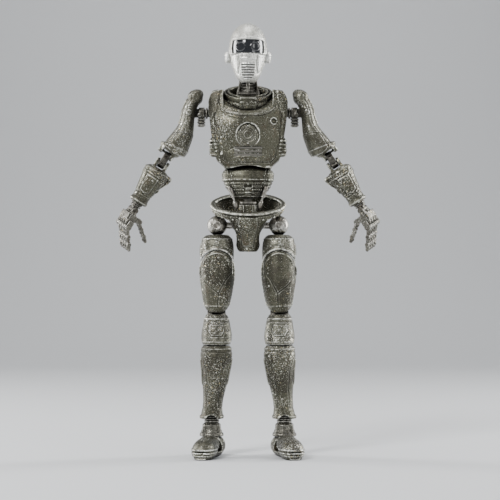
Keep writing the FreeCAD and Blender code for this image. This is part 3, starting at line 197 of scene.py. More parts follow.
OLIVE, BROWN = (0.092, 0.090, 0.064), (0.045, 0.042, 0.030)
RUST, DUST = (0.085, 0.050, 0.028), (0.78, 0.78, 0.69)
# the second colour on the next line is the near-black painted shade that weathered() lays into hollows and
# creases
GILT, PAINTED_SHADE_COLOR = (0.62, 0.52, 0.30), (0.010, 0.009, 0.007)
MATERIAL = {
    "bronze": weathered("weathered_bronze", OLIVE, BROWN, RUST, DUST),
    "pale": weathered("dusted_bronze", (0.140, 0.138, 0.106), (0.072, 0.068, 0.050), RUST, (0.76, 0.76, 0.70),
                      0.8, 0.7, 0.78, 0.34),
    "silver": bare_metal("worn_steel", (0.40, 0.39, 0.355), (0.13, 0.112, 0.088), 0.28),
    "dark": bare_metal("oiled_iron", (0.125, 0.120, 0.105), (0.040, 0.034, 0.027), 0.40),
    "bone": weathered("bone_silver", (0.66, 0.66, 0.61), (0.50, 0.49, 0.44), (0.26, 0.21, 0.15),
                      (0.88, 0.88, 0.85), 0.7, 0.5, 0.45, 0.30),
    "glass": dark_glass("sensor_glass"),
}
GUNMETAL = weathered("hand_gunmetal", (0.150, 0.145, 0.122), (0.075, 0.070, 0.058), RUST, (0.62, 0.61, 0.57),
                     0.5, 0.35, 0.90, 0.30)


# ------------------------------------------------------------------ mesh helpers
def link(obj):
    bpy.context.scene.collection.objects.link(obj)
    return obj


def paint(obj, slot, material=None):
    obj.data.materials.clear()
    obj.data.materials.append(material or MATERIAL[slot])
    return obj


def shade_smooth(mesh, angle=38.0):
    mesh.polygons.foreach_set("use_smooth", [True] * len(mesh.polygons))
    mesh.set_sharp_from_angle(angle=radians(angle))


def evaluated_mesh(obj):
    graph = bpy.context.evaluated_depsgraph_get()
    return bpy.data.meshes.new_from_object(obj.evaluated_get(graph))


def points_of(mesh):
    spots = np.empty(len(mesh.vertices) * 3)
    mesh.vertices.foreach_get("co", spots)
    return spots.reshape(-1, 3) / MM


def normals_of(mesh):
    normals = np.empty(len(mesh.vertices) * 3)
    mesh.vertices.foreach_get("normal", normals)
    return normals.reshape(-1, 3)


def add_forms(work, forms, side):
    """Put closed solids given in millimetres on the left into a mesh, mirrored for the right."""
    for spots, faces in forms:
        corners = [work.verts.new((side * x * MM, y * MM, z * MM)) for x, y, z in spots]
        for face in faces:
            work.faces.new([corners[i] for i in face])


def worked(name, body, slot, work, side=1, detail=None, bend=None, voxel=0.42, soften=3, material=None):
    """One closed skin round everything in the mesh, bent to shape and with detail raised on it."""
    mesh = bpy.data.meshes.new(name)
    bmesh.ops.remove_doubles(work, verts=work.verts, dist=2e-6)
    work.to_mesh(mesh)
    work.free()
    obj = link(bpy.data.objects.new(name, mesh))
    remesh = obj.modifiers.new("remesh", "REMESH")
    remesh.mode = "VOXEL"
    remesh.voxel_size = voxel * MM
    if soften:
        smooth = obj.modifiers.new("smooth", "SMOOTH")
        smooth.factor = 0.5
        smooth.iterations = soften
    dense = evaluated_mesh(obj)
    obj.modifiers.clear()
    obj.data = dense
    mirror = np.array([side, 1, 1])
    if bend:
        spots = points_of(dense)
        spots += bend(spots * mirror) * mirror
        dense.vertices.foreach_set("co", (spots * MM).ravel())
        dense.update()
    if detail:
        spots, normals = points_of(dense), normals_of(dense)
        spots += normals * detail(spots * mirror, normals * mirror)[:, None]
        dense.vertices.foreach_set("co", (spots * MM).ravel())
        dense.update()
    shade_smooth(dense, 60.0)
    paint(obj, slot, material)
    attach(obj, body)
    return obj


def detailed(node, detail=None, extra=(), **options):
    """A dense copy of a CAD piece, with more solids joined to it; it replaces the CAD node."""
    work = bmesh.new()
    work.from_mesh(NODES[node].data)
    side = -1 if node.startswith("right_") else 1
    add_forms(work, extra, side)
    slot = options.pop("slot", SLOT_OF[node])
    obj = worked(node + "_shell", BODY_OF[node], slot, work, side, detail, **options)
    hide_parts(node)
    return obj


def built(name, body, slot, forms, side=1, node=None, **options):
    """A piece made only of solids given here; it may replace a CAD node."""
    work = bmesh.new()
    add_forms(work, forms, side)
    obj = worked(name, body, slot, work, side, **options)
    if node:
        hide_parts(node)
    return obj


# ------------------------------------------------------------------ solids, in millimetres
def lathe(profile, place=None, ring=False, steps=40):
    """A solid turned about the local Z axis from (radius, height) points."""
    place = place or Matrix()
    turns = [2 * pi * i / steps for i in range(steps)]
    spots = [place @ Vector((r * cos(a), r * sin(a), h)) for r, h in profile for a in turns]
    rows = len(profile)
    pairs = [(k, (k + 1) % rows) for k in range(rows if ring else rows - 1)]
    faces = [(a * steps + i, a * steps + (i + 1) % steps, b * steps + (i + 1) % steps, b * steps + i)
             for a, b in pairs for i in range(steps)]
    if not ring:
        faces += [tuple(range(steps)), tuple(range((rows - 1) * steps, rows * steps))]
    return spots, faces


def swept(sections):
    """A solid through closed sections with the same number of points."""
    count = len(sections[0])
    spots = [Vector(point) for section in sections for point in section]
    last = (len(sections) - 1) * count
    faces = [(k + i, k + (i + 1) % count, k + count + (i + 1) % count, k + count + i)
             for k in range(0, last, count) for i in range(count)]
    return spots, faces + [tuple(range(count)), tuple(range(last, last + count))]


def from_to(start, end):
    """A place at the start whose local Z axis points to the end."""
    start, end = Vector(start), Vector(end)
    return Matrix.Translation(start) @ (end - start).to_track_quat("Z", "Y").to_matrix().to_4x4()


def bar(start, end, radius, end_radius=None, steps=24):
    long = (Vector(end) - Vector(start)).length
    return lathe([(radius, 0), (end_radius or radius, long)], from_to(start, end), steps=steps)


def pill(start, end, radius, end_radius=None, steps=24):
    """A round-ended bar."""
    last, long = end_radius or radius, (Vector(end) - Vector(start)).length
    arc = [radians(a) for a in range(10, 90, 20)]
    profile = [(radius * sin(a), -radius * cos(a)) for a in arc] + [(radius, 0), (last, long)]
    profile += [(last * cos(a), long + last * sin(a)) for a in arc]
    return lathe(profile, from_to(start, end), steps=steps)


def block(centre, half, place=None):
    place = place or Matrix()
    corners = (-1, -1), (1, -1), (1, 1), (-1, 1)
    return swept([[place @ Vector((centre[0] + half[0] * x, centre[1] + half[1] * y, centre[2] + half[2] * z))
                   for x, y in corners] for z in (-1, 1)])


def mirrored(form):
    return [(-x, y, z) for x, y, z in form[0]], form[1]


def ribbed(radius, low, top, count, deep=0.5, place=None):
    """A bar with equal rings round it."""
    step = (top - low) / (2 * count - 1)
    profile = []
    for index in range(2 * count - 1):
        level = radius if index % 2 == 0 else radius - deep
        profile += [(level, low + step * index), (level, low + step * (index + 1))]
    return lathe(profile, place)


# ------------------------------------------------------------------ surface detail, in millimetres
# a detail function takes points p and normals n and gives a height d for each; a mark is drawn in u and v
def bell(distance, width):
    """1 on a line, falling smoothly to 0 at a width away from it."""
    t = np.clip(1 - np.abs(distance) / width, 0, 1)
    return t * t * (3 - 2 * t)


def ramp(value, low, high):
    t = np.clip((value - low) / (high - low), 0, 1)
    return t * t * (3 - 2 * t)


def to_line(u, v, points, closed=False):
    """Distance from every (u, v) to a broken line."""
    best = np.full(len(u), 1e9)
    ends = points[1:] + points[:1] if closed else points[1:]
    for (au, av), (bu, bv) in zip(points, ends):
        du, dv = bu - au, bv - av
        if du == dv == 0:
            continue
        t = np.clip(((u - au) * du + (v - av) * dv) / (du * du + dv * dv), 0, 1)
        best = np.minimum(best, np.hypot(u - au - t * du, v - av - t * dv))
    return best


def inside(u, v, points):
    """True where (u, v) lies in a polygon."""
    result = np.zeros(len(u), bool)
    for (au, av), (bu, bv) in zip(points, points[1:] + points[:1]):
        crosses = (av > v) != (bv > v)
        with np.errstate(divide="ignore", invalid="ignore"):
            cut = (bu - au) * (v - av) / (bv - av) + au
        result ^= crosses & (u < cut)
    return result


def groove(u, v, points, mask, width=0.55, depth=0.45, closed=False):
    return -depth * bell(to_line(u, v, points, closed), width) * mask


def plate(u, v, points, mask, height=0.5, bevel=0.6):
    """A raised plate (or a sunk one, with a negative height) with bevelled edges and a seam round it."""
    edge = to_line(u, v, points, True)
    field = np.where(inside(u, v, points), edge, -edge)
    return (height * ramp(field, 0, bevel) - 0.3 * bell(field + 0.35, 0.5)) * mask


def studs(spots, centres, radius=0.8, height=0.45):
    """Round-headed fasteners with a seam around each."""
    result = np.zeros(len(spots))
    for centre in centres:
        away = np.linalg.norm(spots - np.array(centre), axis=1)
        dome = height * np.sqrt(np.clip(1 - (away / radius) ** 2, 0, 1))
        ring = -0.25 * bell(away - radius - 0.2, 0.4)
        result += np.where(away < radius, dome, ring)
    return result


def lumps(spots, size=7.0, depth=0.10):
    """Slight hand-worked unevenness."""
    a, b, c = (spots / size).T
    waves = np.sin(a * 1.7 + 1.3 * np.sin(b)) * np.cos(c * 1.3 + 0.7 * np.sin(a))
    return depth * (waves + 0.5 * np.sin(b * 2.3 + c))


FRONT = lambda n: ramp(-n[:, 1], 0.15, 0.45)
BACK = lambda n: ramp(n[:, 1], 0.15, 0.45)
OUTER = lambda n: ramp(n[:, 0], 0.15, 0.45)
INNER = lambda n: ramp(-n[:, 0], 0.15, 0.45)


def polar(centre_x, centre_z, radius, first, last, count=16):
    """Points on an arc in the front plane."""
    return [(centre_x + radius * cos(radians(first + (last - first) * i / count)),
             centre_z + radius * sin(radians(first + (last - first) * i / count)))
            for i in range(count + 1)]


# ------------------------------------------------------------------ chest
def chest_bend(p):
    """Round the shoulders up and out, and the lower corners in."""
    x, y, z = p.T
    u = np.abs(x)
    swell = np.exp(-((u - 23.0) / 5.2) ** 2 - ((z - 248.6) / 5.0) ** 2)
    tuck = ramp(z, 212.0, 199.0)
    shift = np.zeros_like(p)
    shift[:, 0] = np.sign(x) * (2.2 * swell - 0.07 * u * tuck)
    shift[:, 1] = -0.12 * (y - 5.0) * swell
    shift[:, 2] = 2.9 * swell + 2.6 * (1 - (u / 17.0) ** 2) * ramp(z, 206.0, 199.0) * (u < 17.0)
    return shift


def collar_place():
    return Matrix.Translation(COLLAR) @ Matrix.Rotation(COLLAR_TILT, 4, "X")


# turn from the front, outer radius, outer height, inner height
YOKE = ((0, 22.8, -9.7, -8.7), (20, 23.6, -9.5, -8.4), (45, 25.2, -8.2, -6.4), (60, 23.8, -5.2, -4.6),
        (75, 23.0, -2.9, -3.8), (90, 22.8, -2.0, -3.3), (110, 22.6, -2.0, -3.3))


def collar_yoke():
    """Sloped filling from the collar ring out to the breast and the shoulders."""
    place = collar_place()
    turns, reach, outer, inner = zip(*YOKE)
    sections = []
    for turn in range(-110, 111, 5):
        side, a = abs(turn), radians(turn)
        far, low, high = (float(np.interp(side, turns, row)) for row in (reach, outer, inner))
        middle = ((far + COLLAR_R + 0.15) / 2, (low + high) / 2 + 0.8)
        ring = [(COLLAR_R, -13.5), (far, -13.5), (far, low), middle, (COLLAR_R, high)]
        sections.append([place @ Vector((r * sin(a), -r * cos(a), h)) for r, h in ring])
    return swept(sections)


def chest_front_detail(p, n):
    x, y, z = p.T
    u, front = np.abs(x), FRONT(n)
    d = lumps(p, 9.0, 0.12)
    # pectoral swell and the hollow under it
    d += 1.1 * np.exp(-((u - 11) / 8.5) ** 2 - ((z - 229) / 7.5) ** 2) * front
    d -= 0.8 * np.exp(-((z - 212.5) / 3.2) ** 2 - ((u - 12) / 10) ** 2) * front
    # pale yoke plates over the shoulders
    shoulder = [(18.6, 260), (20.4, 246.5), (22.6, 238.0), (25.0, 232.5), (32, 232.5), (32, 260)]
    d += plate(u, z, shoulder, front, 0.35)
    # seams: breastplate, belly plate, flanks
    d += groove(u, z, [(20.2, 245), (18.8, 240.5), (14.5, 236.6), (8.5, 235.0), (0, 234.6)], front)
    belly = [(27, 222.5), (22.5, 219.0), (20.5, 213.5), (19.0, 206.5), (15.5, 203.2), (0, 203.0)]
    d += groove(u, z, belly, front)
    d += groove(u, z, [(24.5, 231.5), (21.5, 226), (22.5, 219)], front, 0.45, 0.3)
    d += groove(u, z, [(9.6, 213.4), (14.8, 210.8), (16.6, 204.0)], front, 0.45, 0.3)
    # rolled lip along the bottom edge
    d += 0.7 * bell(z - 200.2, 1.3) * front
    # ribbed flank blocks
    block = inside(u, z, [(21.6, 218), (28, 221), (28, 206.5), (21.0, 206.5)])
    d += np.where(block, 0.45 * ramp(np.sin(z * 2.6), -0.3, 0.3), 0) * ramp(-n[:, 1], -0.2, 0.3)
    # round recess beside the collar
    away = np.hypot(x - 17.6, z - 231.4)
    d += (-1.0 * ramp(1.9 - away, 0, 0.5) + 0.5 * bell(away - 2.3, 0.6)) * front
    d += studs(p, [(s * a, f, b) for s in (1, -1) for a, f, b in
                   ((20.6, -9.2, 249.2), (25.6, -3.6, 243.6), (25.6, -5.4, 234.2), (13.0, -13.3, 205.4),
                    (18.7, -11.8, 216.6), (4.6, -14.2, 205.2))], 0.75, 0.4)
    # side seam with a row of slots
    d += groove(y, z, [(-6.5, 247), (-8.5, 228), (-7.5, 208)], OUTER(n) + INNER(n), 0.5, 0.35)
    return d


def chest_back_detail(p, n):
    x, y, z = p.T
    u, back = np.abs(x), BACK(n)
    d = lumps(p, 9.0, 0.12)
    d += plate(u, z, [(4.8, 243), (17.5, 246), (22.0, 238), (21.0, 226), (13, 220.5), (4.8, 223)], back, 0.9)
    d += plate(u, z, [(-1, 216.5), (14.5, 216.5), (18.5, 208), (14.0, 202.5), (-1, 202.5)], back, 0.6)
    d += groove(u, z, [(3.2, 250), (3.2, 219), (0, 217.8)], back)
    d += groove(u, z, [(27, 232), (23.5, 228), (22, 214), (19, 205)], back)
    for i in range(6):
        d += 0.55 * bell(z - 221.5 - 4.4 * i, 1.5) * ramp(2.6 - u, 0, 0.5) * back
    for i in range(4):
        slot = [(8.2, 227.2 + 3.1 * i), (17.4, 227.2 + 3.1 * i)]
        d -= 0.8 * ramp(0.75 - to_line(u, z, slot), 0, 0.35) * back
    d += 0.7 * bell(z - 200.2, 1.3) * back
    d += studs(p, [(s * a, 23.0, b) for s in (1, -1) for a, b in ((6.6, 241), (6.6, 225))], 0.8, 0.5)
    d += studs(p, [(s * a, f, b) for s in (1, -1) for a, f, b in
                   ((19.6, 19.8, 240.0), (13.4, 21.5, 213.4), (13.4, 20.3, 205.4))], 0.8, 0.5)
    d += groove(y, z, [(15.5, 247), (17.5, 228), (16.5, 208)], OUTER(n) + INNER(n), 0.5, 0.35)
    return d


def abdomen_detail(p, n):
    x, y, z = p.T
    u = np.abs(x)
    out = ramp(np.abs(n[:, 2]), 0.85, 0.55)
    d = lumps(p, 6.0, 0.08)
    # stepped ribs round the lower half, broken by flank blocks
    d += -0.55 * ramp(np.sin((z - 180) * 2 * pi / 2.35), 0.2, 0.8) * ramp(190.4 - z, 0, 0.6) * out
    d += 0.6 * bell(z - 191.6, 1.1) * out
    d += groove(u, z, [(13.0, 198), (12.2, 192), (10.2, 187), (7.5, 182)], out, 0.5, 0.45)
    d += 0.4 * ramp(u, 13.2, 13.8) * out
    d += studs(p, [(s * 11.4, f, 194.2) for s in (1, -1) for f in (-5.0, 15.0)], 0.7, 0.4)
    return d


COLLAR_PROFILE = [(12.7, -10.4), (16.4, -10.4), (16.9, -9.4), (16.9, -5.2), (16.3, -4.6), (16.3, -3.8),
                  (17.1, -3.2), (17.1, -1.6), (16.4, -0.7), (15.4, -0.9), (14.9, -1.9), (14.5, -1.9),
                  (14.2, -0.3), (13.3, 0.1), (12.6, -0.4), (12.5, -3.0)]


def collar_detail(p, n):
    """Soft pads round the band and a raised latch in front."""
    inverse = np.array(collar_place().inverted())
    local = p @ inverse[:3, :3].T + inverse[:3, 3]
    x, y, h = local.T
    around = np.degrees(np.arctan2(x, -y))
    out = ramp(np.hypot(x, y), 16.2, 16.7)
    band = ramp(h, -10.0, -9.2) * ramp(-h, 4.6, 5.4)
    d = lumps(p, 6.0, 0.06)
    d -= 0.45 * bell((around + 7.5) % 15.0 - 7.5, 1.5) * out * band * ramp(np.abs(around), 20.0, 24.0)
    d += 0.35 * out * band * ramp(17.0 - np.abs(around), 0, 1.5)
    d -= 0.35 * bell(np.abs(around) - 11.0, 1.4) * out * band
    return d


def make_collar():
    latch = block((0, -16.5, -5.6), (5.6, 0.8, 2.6), collar_place())
    tongue = block((0, -14.8, -1.0), (5.6, 2.2, 0.9), collar_place())
    ring = lathe(COLLAR_PROFILE, collar_place(), True, 96)
    built("collar_ring_shell", "chest", "bronze", [ring, latch, tongue],
          node="collar_ring", detail=collar_detail, voxel=0.28, soften=2)


def make_neck():
    """Bellows neck with two side rods and a collar under the head."""
    base = Matrix.Translation((0, BODY_Y, 0))
    forms = [ribbed(5.6, 250.5, 262.2, 6, 0.9, base), lathe([(7.0, 249.5), (7.4, 251.0), (6.4, 252.4)], base),
             lathe([(5.4, 261.2), (6.6, 261.8), (6.6, 263.2), (5.2, 263.6)], base)]
    for x in (-1, 1):
        forms.append(bar((x * 6.9, 2.4, 250.4), (x * 4.9, 2.0, 262.6), 0.85))
        forms.append(pill((x * 6.9, 2.4, 250.0), (x * 6.5, 2.3, 252.6), 1.35))
    forms.append(bar((0, -0.6, 251.0), (0, -0.2, 262.6), 1.1))
    built("neck_shell", "neck", "dark", forms, node="neck", voxel=0.22, soften=1)


# ------------------------------------------------------------------ waist
def waist_forms():
    """Tapered belly column with level ribs, and the rounded flank pads beside it."""
    middle = Matrix.Translation((0, BODY_Y, 0))
    oval = middle @ Matrix.Diagonal((1.0, 0.70, 1.0, 1.0))
    column = [(6.3, 178.6), (7.0, 180.0), (8.6, 184.6), (10.6, 190.0), (12.0, 195.2), (11.6, 198.0)]
    belly = [(15.2, 189.5), (17.0, 192.4), (17.5, 195.0), (16.9, 197.4), (15.0, 199.4), (10.0, 201.2)]
    forms = [lathe(column, middle), lathe(belly, oval)]
    for level, radius in ((180.4, 7.9), (183.0, 8.9), (185.6, 9.9), (188.2, 10.9)):
        forms.append(lathe([(radius - 0.9, level - 0.85), (radius, level - 0.45), (radius, level + 0.45),
                            (radius - 0.9, level + 0.85)], middle))
    return forms


def make_struts():
    """Slanted dampers beside the waist post."""
    for side, sign in SIDES.items():
        forms = [bar((12.6, -2.0, 186.6), (8.2, -1.6, 173.4), 0.8),
                 pill((12.4, -2.0, 185.8), (10.8, -1.8, 181.0), 1.5),
                 pill((8.9, -1.7, 175.4), (8.1, -1.6, 172.6), 1.6),
                 bar((10.4, -1.8, 180.0), (10.2, -1.8, 179.3), 1.8)]
        built(f"{side}_waist_damper", "abdomen", "silver", forms, sign, voxel=0.2, soften=1)


# ------------------------------------------------------------------ pelvis
def hip_band():
    """Band that deepens the bowl's rim over a leg opening."""
    levels = ((166.0, 21.5, 16.5), (175.0, 25.6, 18.3))

    def at(turn, height, inset):
        share = (height - levels[0][0]) / (levels[1][0] - levels[0][0])
        wide, deep = (low + (top - low) * share - inset for low, top in zip(levels[0][1:], levels[1][1:]))
        return Vector((wide * cos(turn), 5.0 + deep * sin(turn), height))

    sections = []
    for step in range(-50, 51, 5):
        turn = radians(step)
        height = 169.0
        for _ in range(12):
            across = at(turn, height, 0).x - 26.5
            height = 150.5 + sqrt(max(18.6 ** 2 - across ** 2, 1.0))
        drop = 2.9 * cos(radians(step * 1.5))
        sections.append([at(turn, height - drop, -0.5), at(turn, height + 1.2, -0.1),
                         at(turn, height + 1.2, 1.9), at(turn, height - drop, 1.7)])
    return swept(sections)


def pelvis_detail(p, n):
    x, y, z = p.T
    u = np.abs(x)
    rim = 175.0 + (y - 5) * tan(radians(23.0)) - z
    out = ramp((x * n[:, 0] + (y - 5) * n[:, 1]) / (np.hypot(x, y - 5) + 1e-6), 0.1, 0.5)
    d = lumps(p, 7.0, 0.10)
    # double lip round the rim
    d += 0.9 * bell(rim - 0.8, 1.3)
    d -= 0.5 * bell(rim - 2.6, 0.6) * out
    d += 0.35 * bell(rim - 8.4, 1.0) * out * ramp(u, 11, 14)
    # front and back tabs: raised centre plate with a seam
    tab = [(-6.4, 165.2), (6.4, 165.2), (7.0, 160), (5.0, 152.5), (3.8, 145.2), (-3.8, 145.2), (-5.0, 152.5),
           (-7.0, 160)]
    d += plate(x, z, tab, FRONT(n) * out, 0.6)
    back_tab = [(-7, 172), (7, 172), (5.4, 158), (3.6, 147), (-3.6, 147), (-5.4, 158)]
    d += plate(x, z, back_tab, BACK(n) * out, 0.6)
    d += groove(x, z, [(-4.2, 158.0), (0, 155.6), (4.2, 158.0)], FRONT(n) * out, 0.5, 0.4)
    around = np.degrees(np.arctan2(x, -(y - 5)))
    for spot in (-62, -38, 38, 62, 110, -110, 150, -150):
        away = np.hypot((around - spot) * 0.36, rim - 5.4)
        d += (0.5 * np.sqrt(np.clip(1 - (away / 0.9) ** 2, 0, 1)) - 0.25 * bell(away - 1.2, 0.45)) * out
    for spot in (-86, 86):
        away = np.hypot((around - spot) * 0.42, rim - 5.2)
        d += (0.5 * ramp(2.6 - away, 0, 0.4) - 0.6 * ramp(1.3 - away, 0, 0.4)) * out
    return d


# ------------------------------------------------------------------ head
def head_detail(p, n):
    x, y, z = p.T
    u = np.abs(x)
    d = lumps(p, 12.0, 0.06)
    # brow ridge over the window, crown seam, side plates and nape
    d += 0.5 * bell(z - 288.6, 1.1) * FRONT(n) * ramp(11.4 - u, 0, 1)
    d += groove(x, y, [(0, -14), (0, 26)], ramp(n[:, 2], 0.1, 0.4), 0.4, 0.28)
    d += groove(y, z, [(-4, 288.6), (2, 292), (11, 291), (17.5, 285), (18, 276), (13, 270)],
                ramp(np.abs(n[:, 0]), 0.25, 0.5), 0.5, 0.35)
    away = np.hypot(y - 5, z - 276.5)
    d += 0.45 * bell(away - 6.0, 1.0) * ramp(np.abs(n[:, 0]), 0.3, 0.6)
    for i in range(4):
        d -= 0.4 * bell(z - 270 - 2.1 * i, 0.6) * BACK(n) * ramp(6.5 - u, 0, 0.8)
    return d


def jaw_detail(p, n):
    x, y, z = p.T
    u = np.abs(x)
    d = lumps(p, 12.0, 0.05)
    front = ramp(-n[:, 1], 0.05, 0.35)
    # muzzle plate with level louvres and a centre seam
    mouth = [(-5.6, 271.5), (5.6, 271.5), (4.6, 262.6), (3.0, 260.2), (-3.0, 260.2), (-4.6, 262.6)]
    field = np.where(inside(x, z, mouth), to_line(x, z, mouth, True), -1.0)
    slots = ramp(np.sin((z - 261.0) * 2 * pi / 1.75), -0.1, 0.6)
    d += (0.5 * ramp(field, 0, 0.5) - 0.95 * slots * ramp(field, 0.5, 0.9)) * front
    d += groove(x, z, [(0, 272), (0, 258)], front, 0.4, 0.4)
    # cheek plates
    cheek = [(6.8, 277.2), (12.4, 277.2), (10.4, 268.6), (6.6, 264.4), (6.2, 271.0)]
    d += plate(u, z, cheek, front, 0.45, 0.5)
    d += 0.5 * bell(z - 274.4, 1.2) * front * ramp(6.2 - u, 0, 0.8)
    return d


def visor_detail(p, n):
    x, y, z = p.T
    u = np.abs(x)
    away = np.hypot(u - 5.1, z - 283.0)
    front = FRONT(n)
    # two round lenses sunk in raised rims
    d = (0.35 * bell(away - 2.9, 0.6) - 0.25 * ramp(2.4 - away, 0, 0.6)) * front
    return d


# ------------------------------------------------------------------ arms
def arm_frame(p, drop=0.0):
    """Coordinates along the lower arm: across, front-back, and distance below the elbow."""
    x, y, z = p.T
    dx, dz = x - ELBOW[0], z - ELBOW[2]
    across = dx * cos(ARM_LEAN) + dz * sin(ARM_LEAN)
    return across, y - BODY_Y, dx * sin(ARM_LEAN) - dz * cos(ARM_LEAN) - drop


def arm_place(drop, twist=0.0):
    """Place whose Z axis runs up the lower arm, a distance below the elbow's middle."""
    spot = (ELBOW[0] + drop * sin(ARM_LEAN), BODY_Y, ELBOW[2] - drop * cos(ARM_LEAN))
    return (Matrix.Translation(spot) @ Matrix.Rotation(-ARM_LEAN, 4, "Y")
            @ Matrix.Rotation(radians(twist), 4, "Z"))


def placed(place, forms):
    """The same solids moved to another place."""
    return [([place @ Vector(spot) for spot in spots], faces) for spots, faces in forms]


def upper_arm_bend(p):
    """Fuller biceps whose lower edge is square to the arm."""
    x, y, z = p.T
    heights = [209.8, 213.4, 222, 232, 240, 249.5, 254.2]
    middle = np.interp(z, heights, [52.4, 50.8, 46.2, 42.2, 40.6, 36.0, 35.2])
    fuller = 0.25 * bell(z - 221.5, 12.0) + 0.10 * ramp(z, 218, 211) * ramp(z, 206, 209)
    shift = np.zeros_like(p)
    shift[:, 0] = (x - middle) * fuller
    shift[:, 1] = (y - BODY_Y) * 0.6 * fuller
    shift[:, 2] = (x - 51.5) * 0.42 * ramp(z, 222.0, 210.5) * (np.abs(x - 51.5) < 12.0)
    return shift


def hub_forms():
    """Shoulder mechanism: cross axle with discs, hanging ribbed block and the tongue into the arm."""
    forms = [bar((x, 5, SHOULDER_Z), (end, 5, SHOULDER_Z), radius)
             for x, end, radius in ((24.5, 35.0, 2.7), (30.0, 34.0, 4.1), (28.0, 29.2, 3.9))]
    forms += [block((37.4, 5, SHOULDER_Z), (3.6, 2.4, 3.0)),
              bar((40.8, 2.6, SHOULDER_Z), (40.8, 7.4, SHOULDER_Z), 3.0),
              block((32.4, 5, 232.6), (1.9, 2.6, 4.4))]
    for level in (229.4, 231.4, 233.4):
        forms.append(block((32.4, 5, level), (2.8, 3.5, 0.6)))
    forms.append(bar((33.4, 1.2, 236.4), (33.4, 0.2, 236.4), 1.5))
    forms.append(bar((33.4, 8.8, 236.4), (33.4, 9.8, 236.4), 1.5))
    return forms


def elbow_forms():
    """Two hinge barrels, a round boss and thin rods beside them."""
    forms = [block((0, 0, 0), (2.2, 2.0, ELBOW_STEP)), bar((0, -4.3, 0), (0, 4.3, 0), 2.3),
             bar((0, -4.6, 0), (0, -4.2, 0), 1.2)]
    for z in (-ELBOW_STEP, ELBOW_STEP):
        forms.append(bar((-2.3, 0, z), (2.3, 0, z), 3.05))
        forms.append(bar((-2.3, -2.9, z * 1.2), (2.3, -2.9, z * 1.2), 0.7))
    for x in (-1.3, 1.3):
        forms.append(bar((x, -2.7, -5.0), (x, -2.7, 5.0), 0.55))
        forms.append(bar((x, 2.7, -5.0), (x, 2.7, 5.0), 0.55))
    return placed(arm_place(0.0), forms)


def shoulder_cap():
    """Rounded top of the upper arm."""
    return pill((36.6, 0.8, 248.6), (36.6, 9.2, 248.6), 5.2)


def arm_cup():
    """Rounded lip round the fork at the lower end of the upper arm."""
    lip = [(3.5, 5.6), (4.9, 5.4), (5.8, 6.4), (6.4, 8.2), (6.2, 10.4), (3.5, 11.0)]
    return placed(arm_place(0.0), [lathe(lip, ring=True)])


def forearm_forms():
    """Rounded shoulder at the elbow end and a fin on the inner side."""
    ring = [(4.4, -3.5), (6.4, -3.9), (8.0, -5.0), (9.1, -6.8), (9.5, -8.8), (9.1, -11.0), (8.2, -13.0),
            (5.0, -13.4)]
    fin = swept([[(-6.0, -0.9, z), (-6.0, 0.9, z), (x, 0.7, z), (x, -0.7, z)]
                 for z, x in ((-4.8, -11.0), (-7.6, -11.8), (-10.5, -10.9), (-18.0, -7.0))])
    cuff = [(4.6, -27.2), (6.3, -28.0), (6.2, -30.8), (5.6, -31.8), (4.4, -31.8)]
    return placed(arm_place(ELBOW_STEP), [lathe(ring, ring=True), fin, lathe(cuff, ring=True)])


def wrist_forms():
    collar = [(3.0, -31.4), (4.1, -32.0), (4.1, -32.9), (3.4, -33.1), (3.4, -33.5), (4.0, -33.7),
              (3.6, -34.8)]
    forms = [lathe(collar), block((0, 0, -35.9), (2.1, 1.8, 1.6)),
             bar((0, -1.8, -37.2), (0, 1.8, -37.2), 2.3)]
    return placed(arm_place(ELBOW_STEP, HAND_TURN), forms)


FINGER_ROWS = [FINGER_PITCH * (i - 1.5) for i in range(4)]


def palm_forms():
    """Palm with four metacarpal ridges, a plate on the back, knuckle guards and the thumb's root."""
    forms = [block((0, 0, -43.4), (2.8, 7.4, 3.0)), block((2.9, 0, -42.6), (1.0, 6.2, 2.4)),
             bar((0, -9.1, KNUCKLE_Z), (0, 9.1, KNUCKLE_Z), 0.75),
             pill((-1.0, -4.2, -42.4), (-4.4, -4.2, -42.4), 2.6, 2.1)]
    for y in FINGER_ROWS:
        forms.append(pill((0.2, 0.75 * y, -39.8), (0.2, 0.98 * y, -46.6), 2.2, 2.0))
        forms.append(pill((1.9, 0.98 * y, -45.2), (1.9, 0.98 * y, -46.8), 1.5))
    for s in (-1, 1):
        forms.append(bar((0, s * 8.05, KNUCKLE_Z), (0, s * 9.3, KNUCKLE_Z), 2.3))
        forms.append(block((0, s * 8.6, -47.2), (2.0, 0.65, 2.4)))
        forms.append(block((0, s * 3.1, -38.6), (2.1, 0.9, 1.8)))
        forms.append(bar((0, s * 2.1, -37.2), (0, s * 4.3, -37.2), 2.3))
        forms.append(bar((-6.0, -4.2 + s * 2.05, -42.4), (-6.0, -4.2 + s * 3.2, -42.4), 1.95))
        forms.append(block((-4.2, -4.2 + s * 2.5, -42.4), (1.8, 0.5, 1.7)))
    return placed(arm_place(ELBOW_STEP, HAND_TURN), forms)


def finger_forms(root, lean, bones):
    """Knuckle and tapering armoured bones, each with a guard on its back and a pin through its end."""
    place = arm_place(ELBOW_STEP, HAND_TURN) @ Matrix.Translation(root)
    place = place @ Matrix.Rotation(radians(lean), 4, "Y")
    forms = [bar((0, -1.75, 0), (0, 1.75, 0), 2.2)]
    level = 0.0
    for index, long in enumerate(bones):
        thick = 1.75 - 0.12 * index
        low = level - long
        last = index == len(bones) - 1
        forms.append(pill((0, 0, level - 1.5), (0, 0, low + (0.4 if last else 1.9)), thick, thick - 0.3))
        forms.append(pill((0.75, 0, level - 2.3), (0.6, 0, low + (1.6 if last else 2.5)), 1.25, 1.05))
        if not last:
            forms.append(bar((0, -1.75, low), (0, 1.75, low), 1.55))
            forms.append(bar((0, -1.1, low + 0.9), (0, 1.1, low + 0.9), 1.2))
        level = low
    return placed(place, forms)


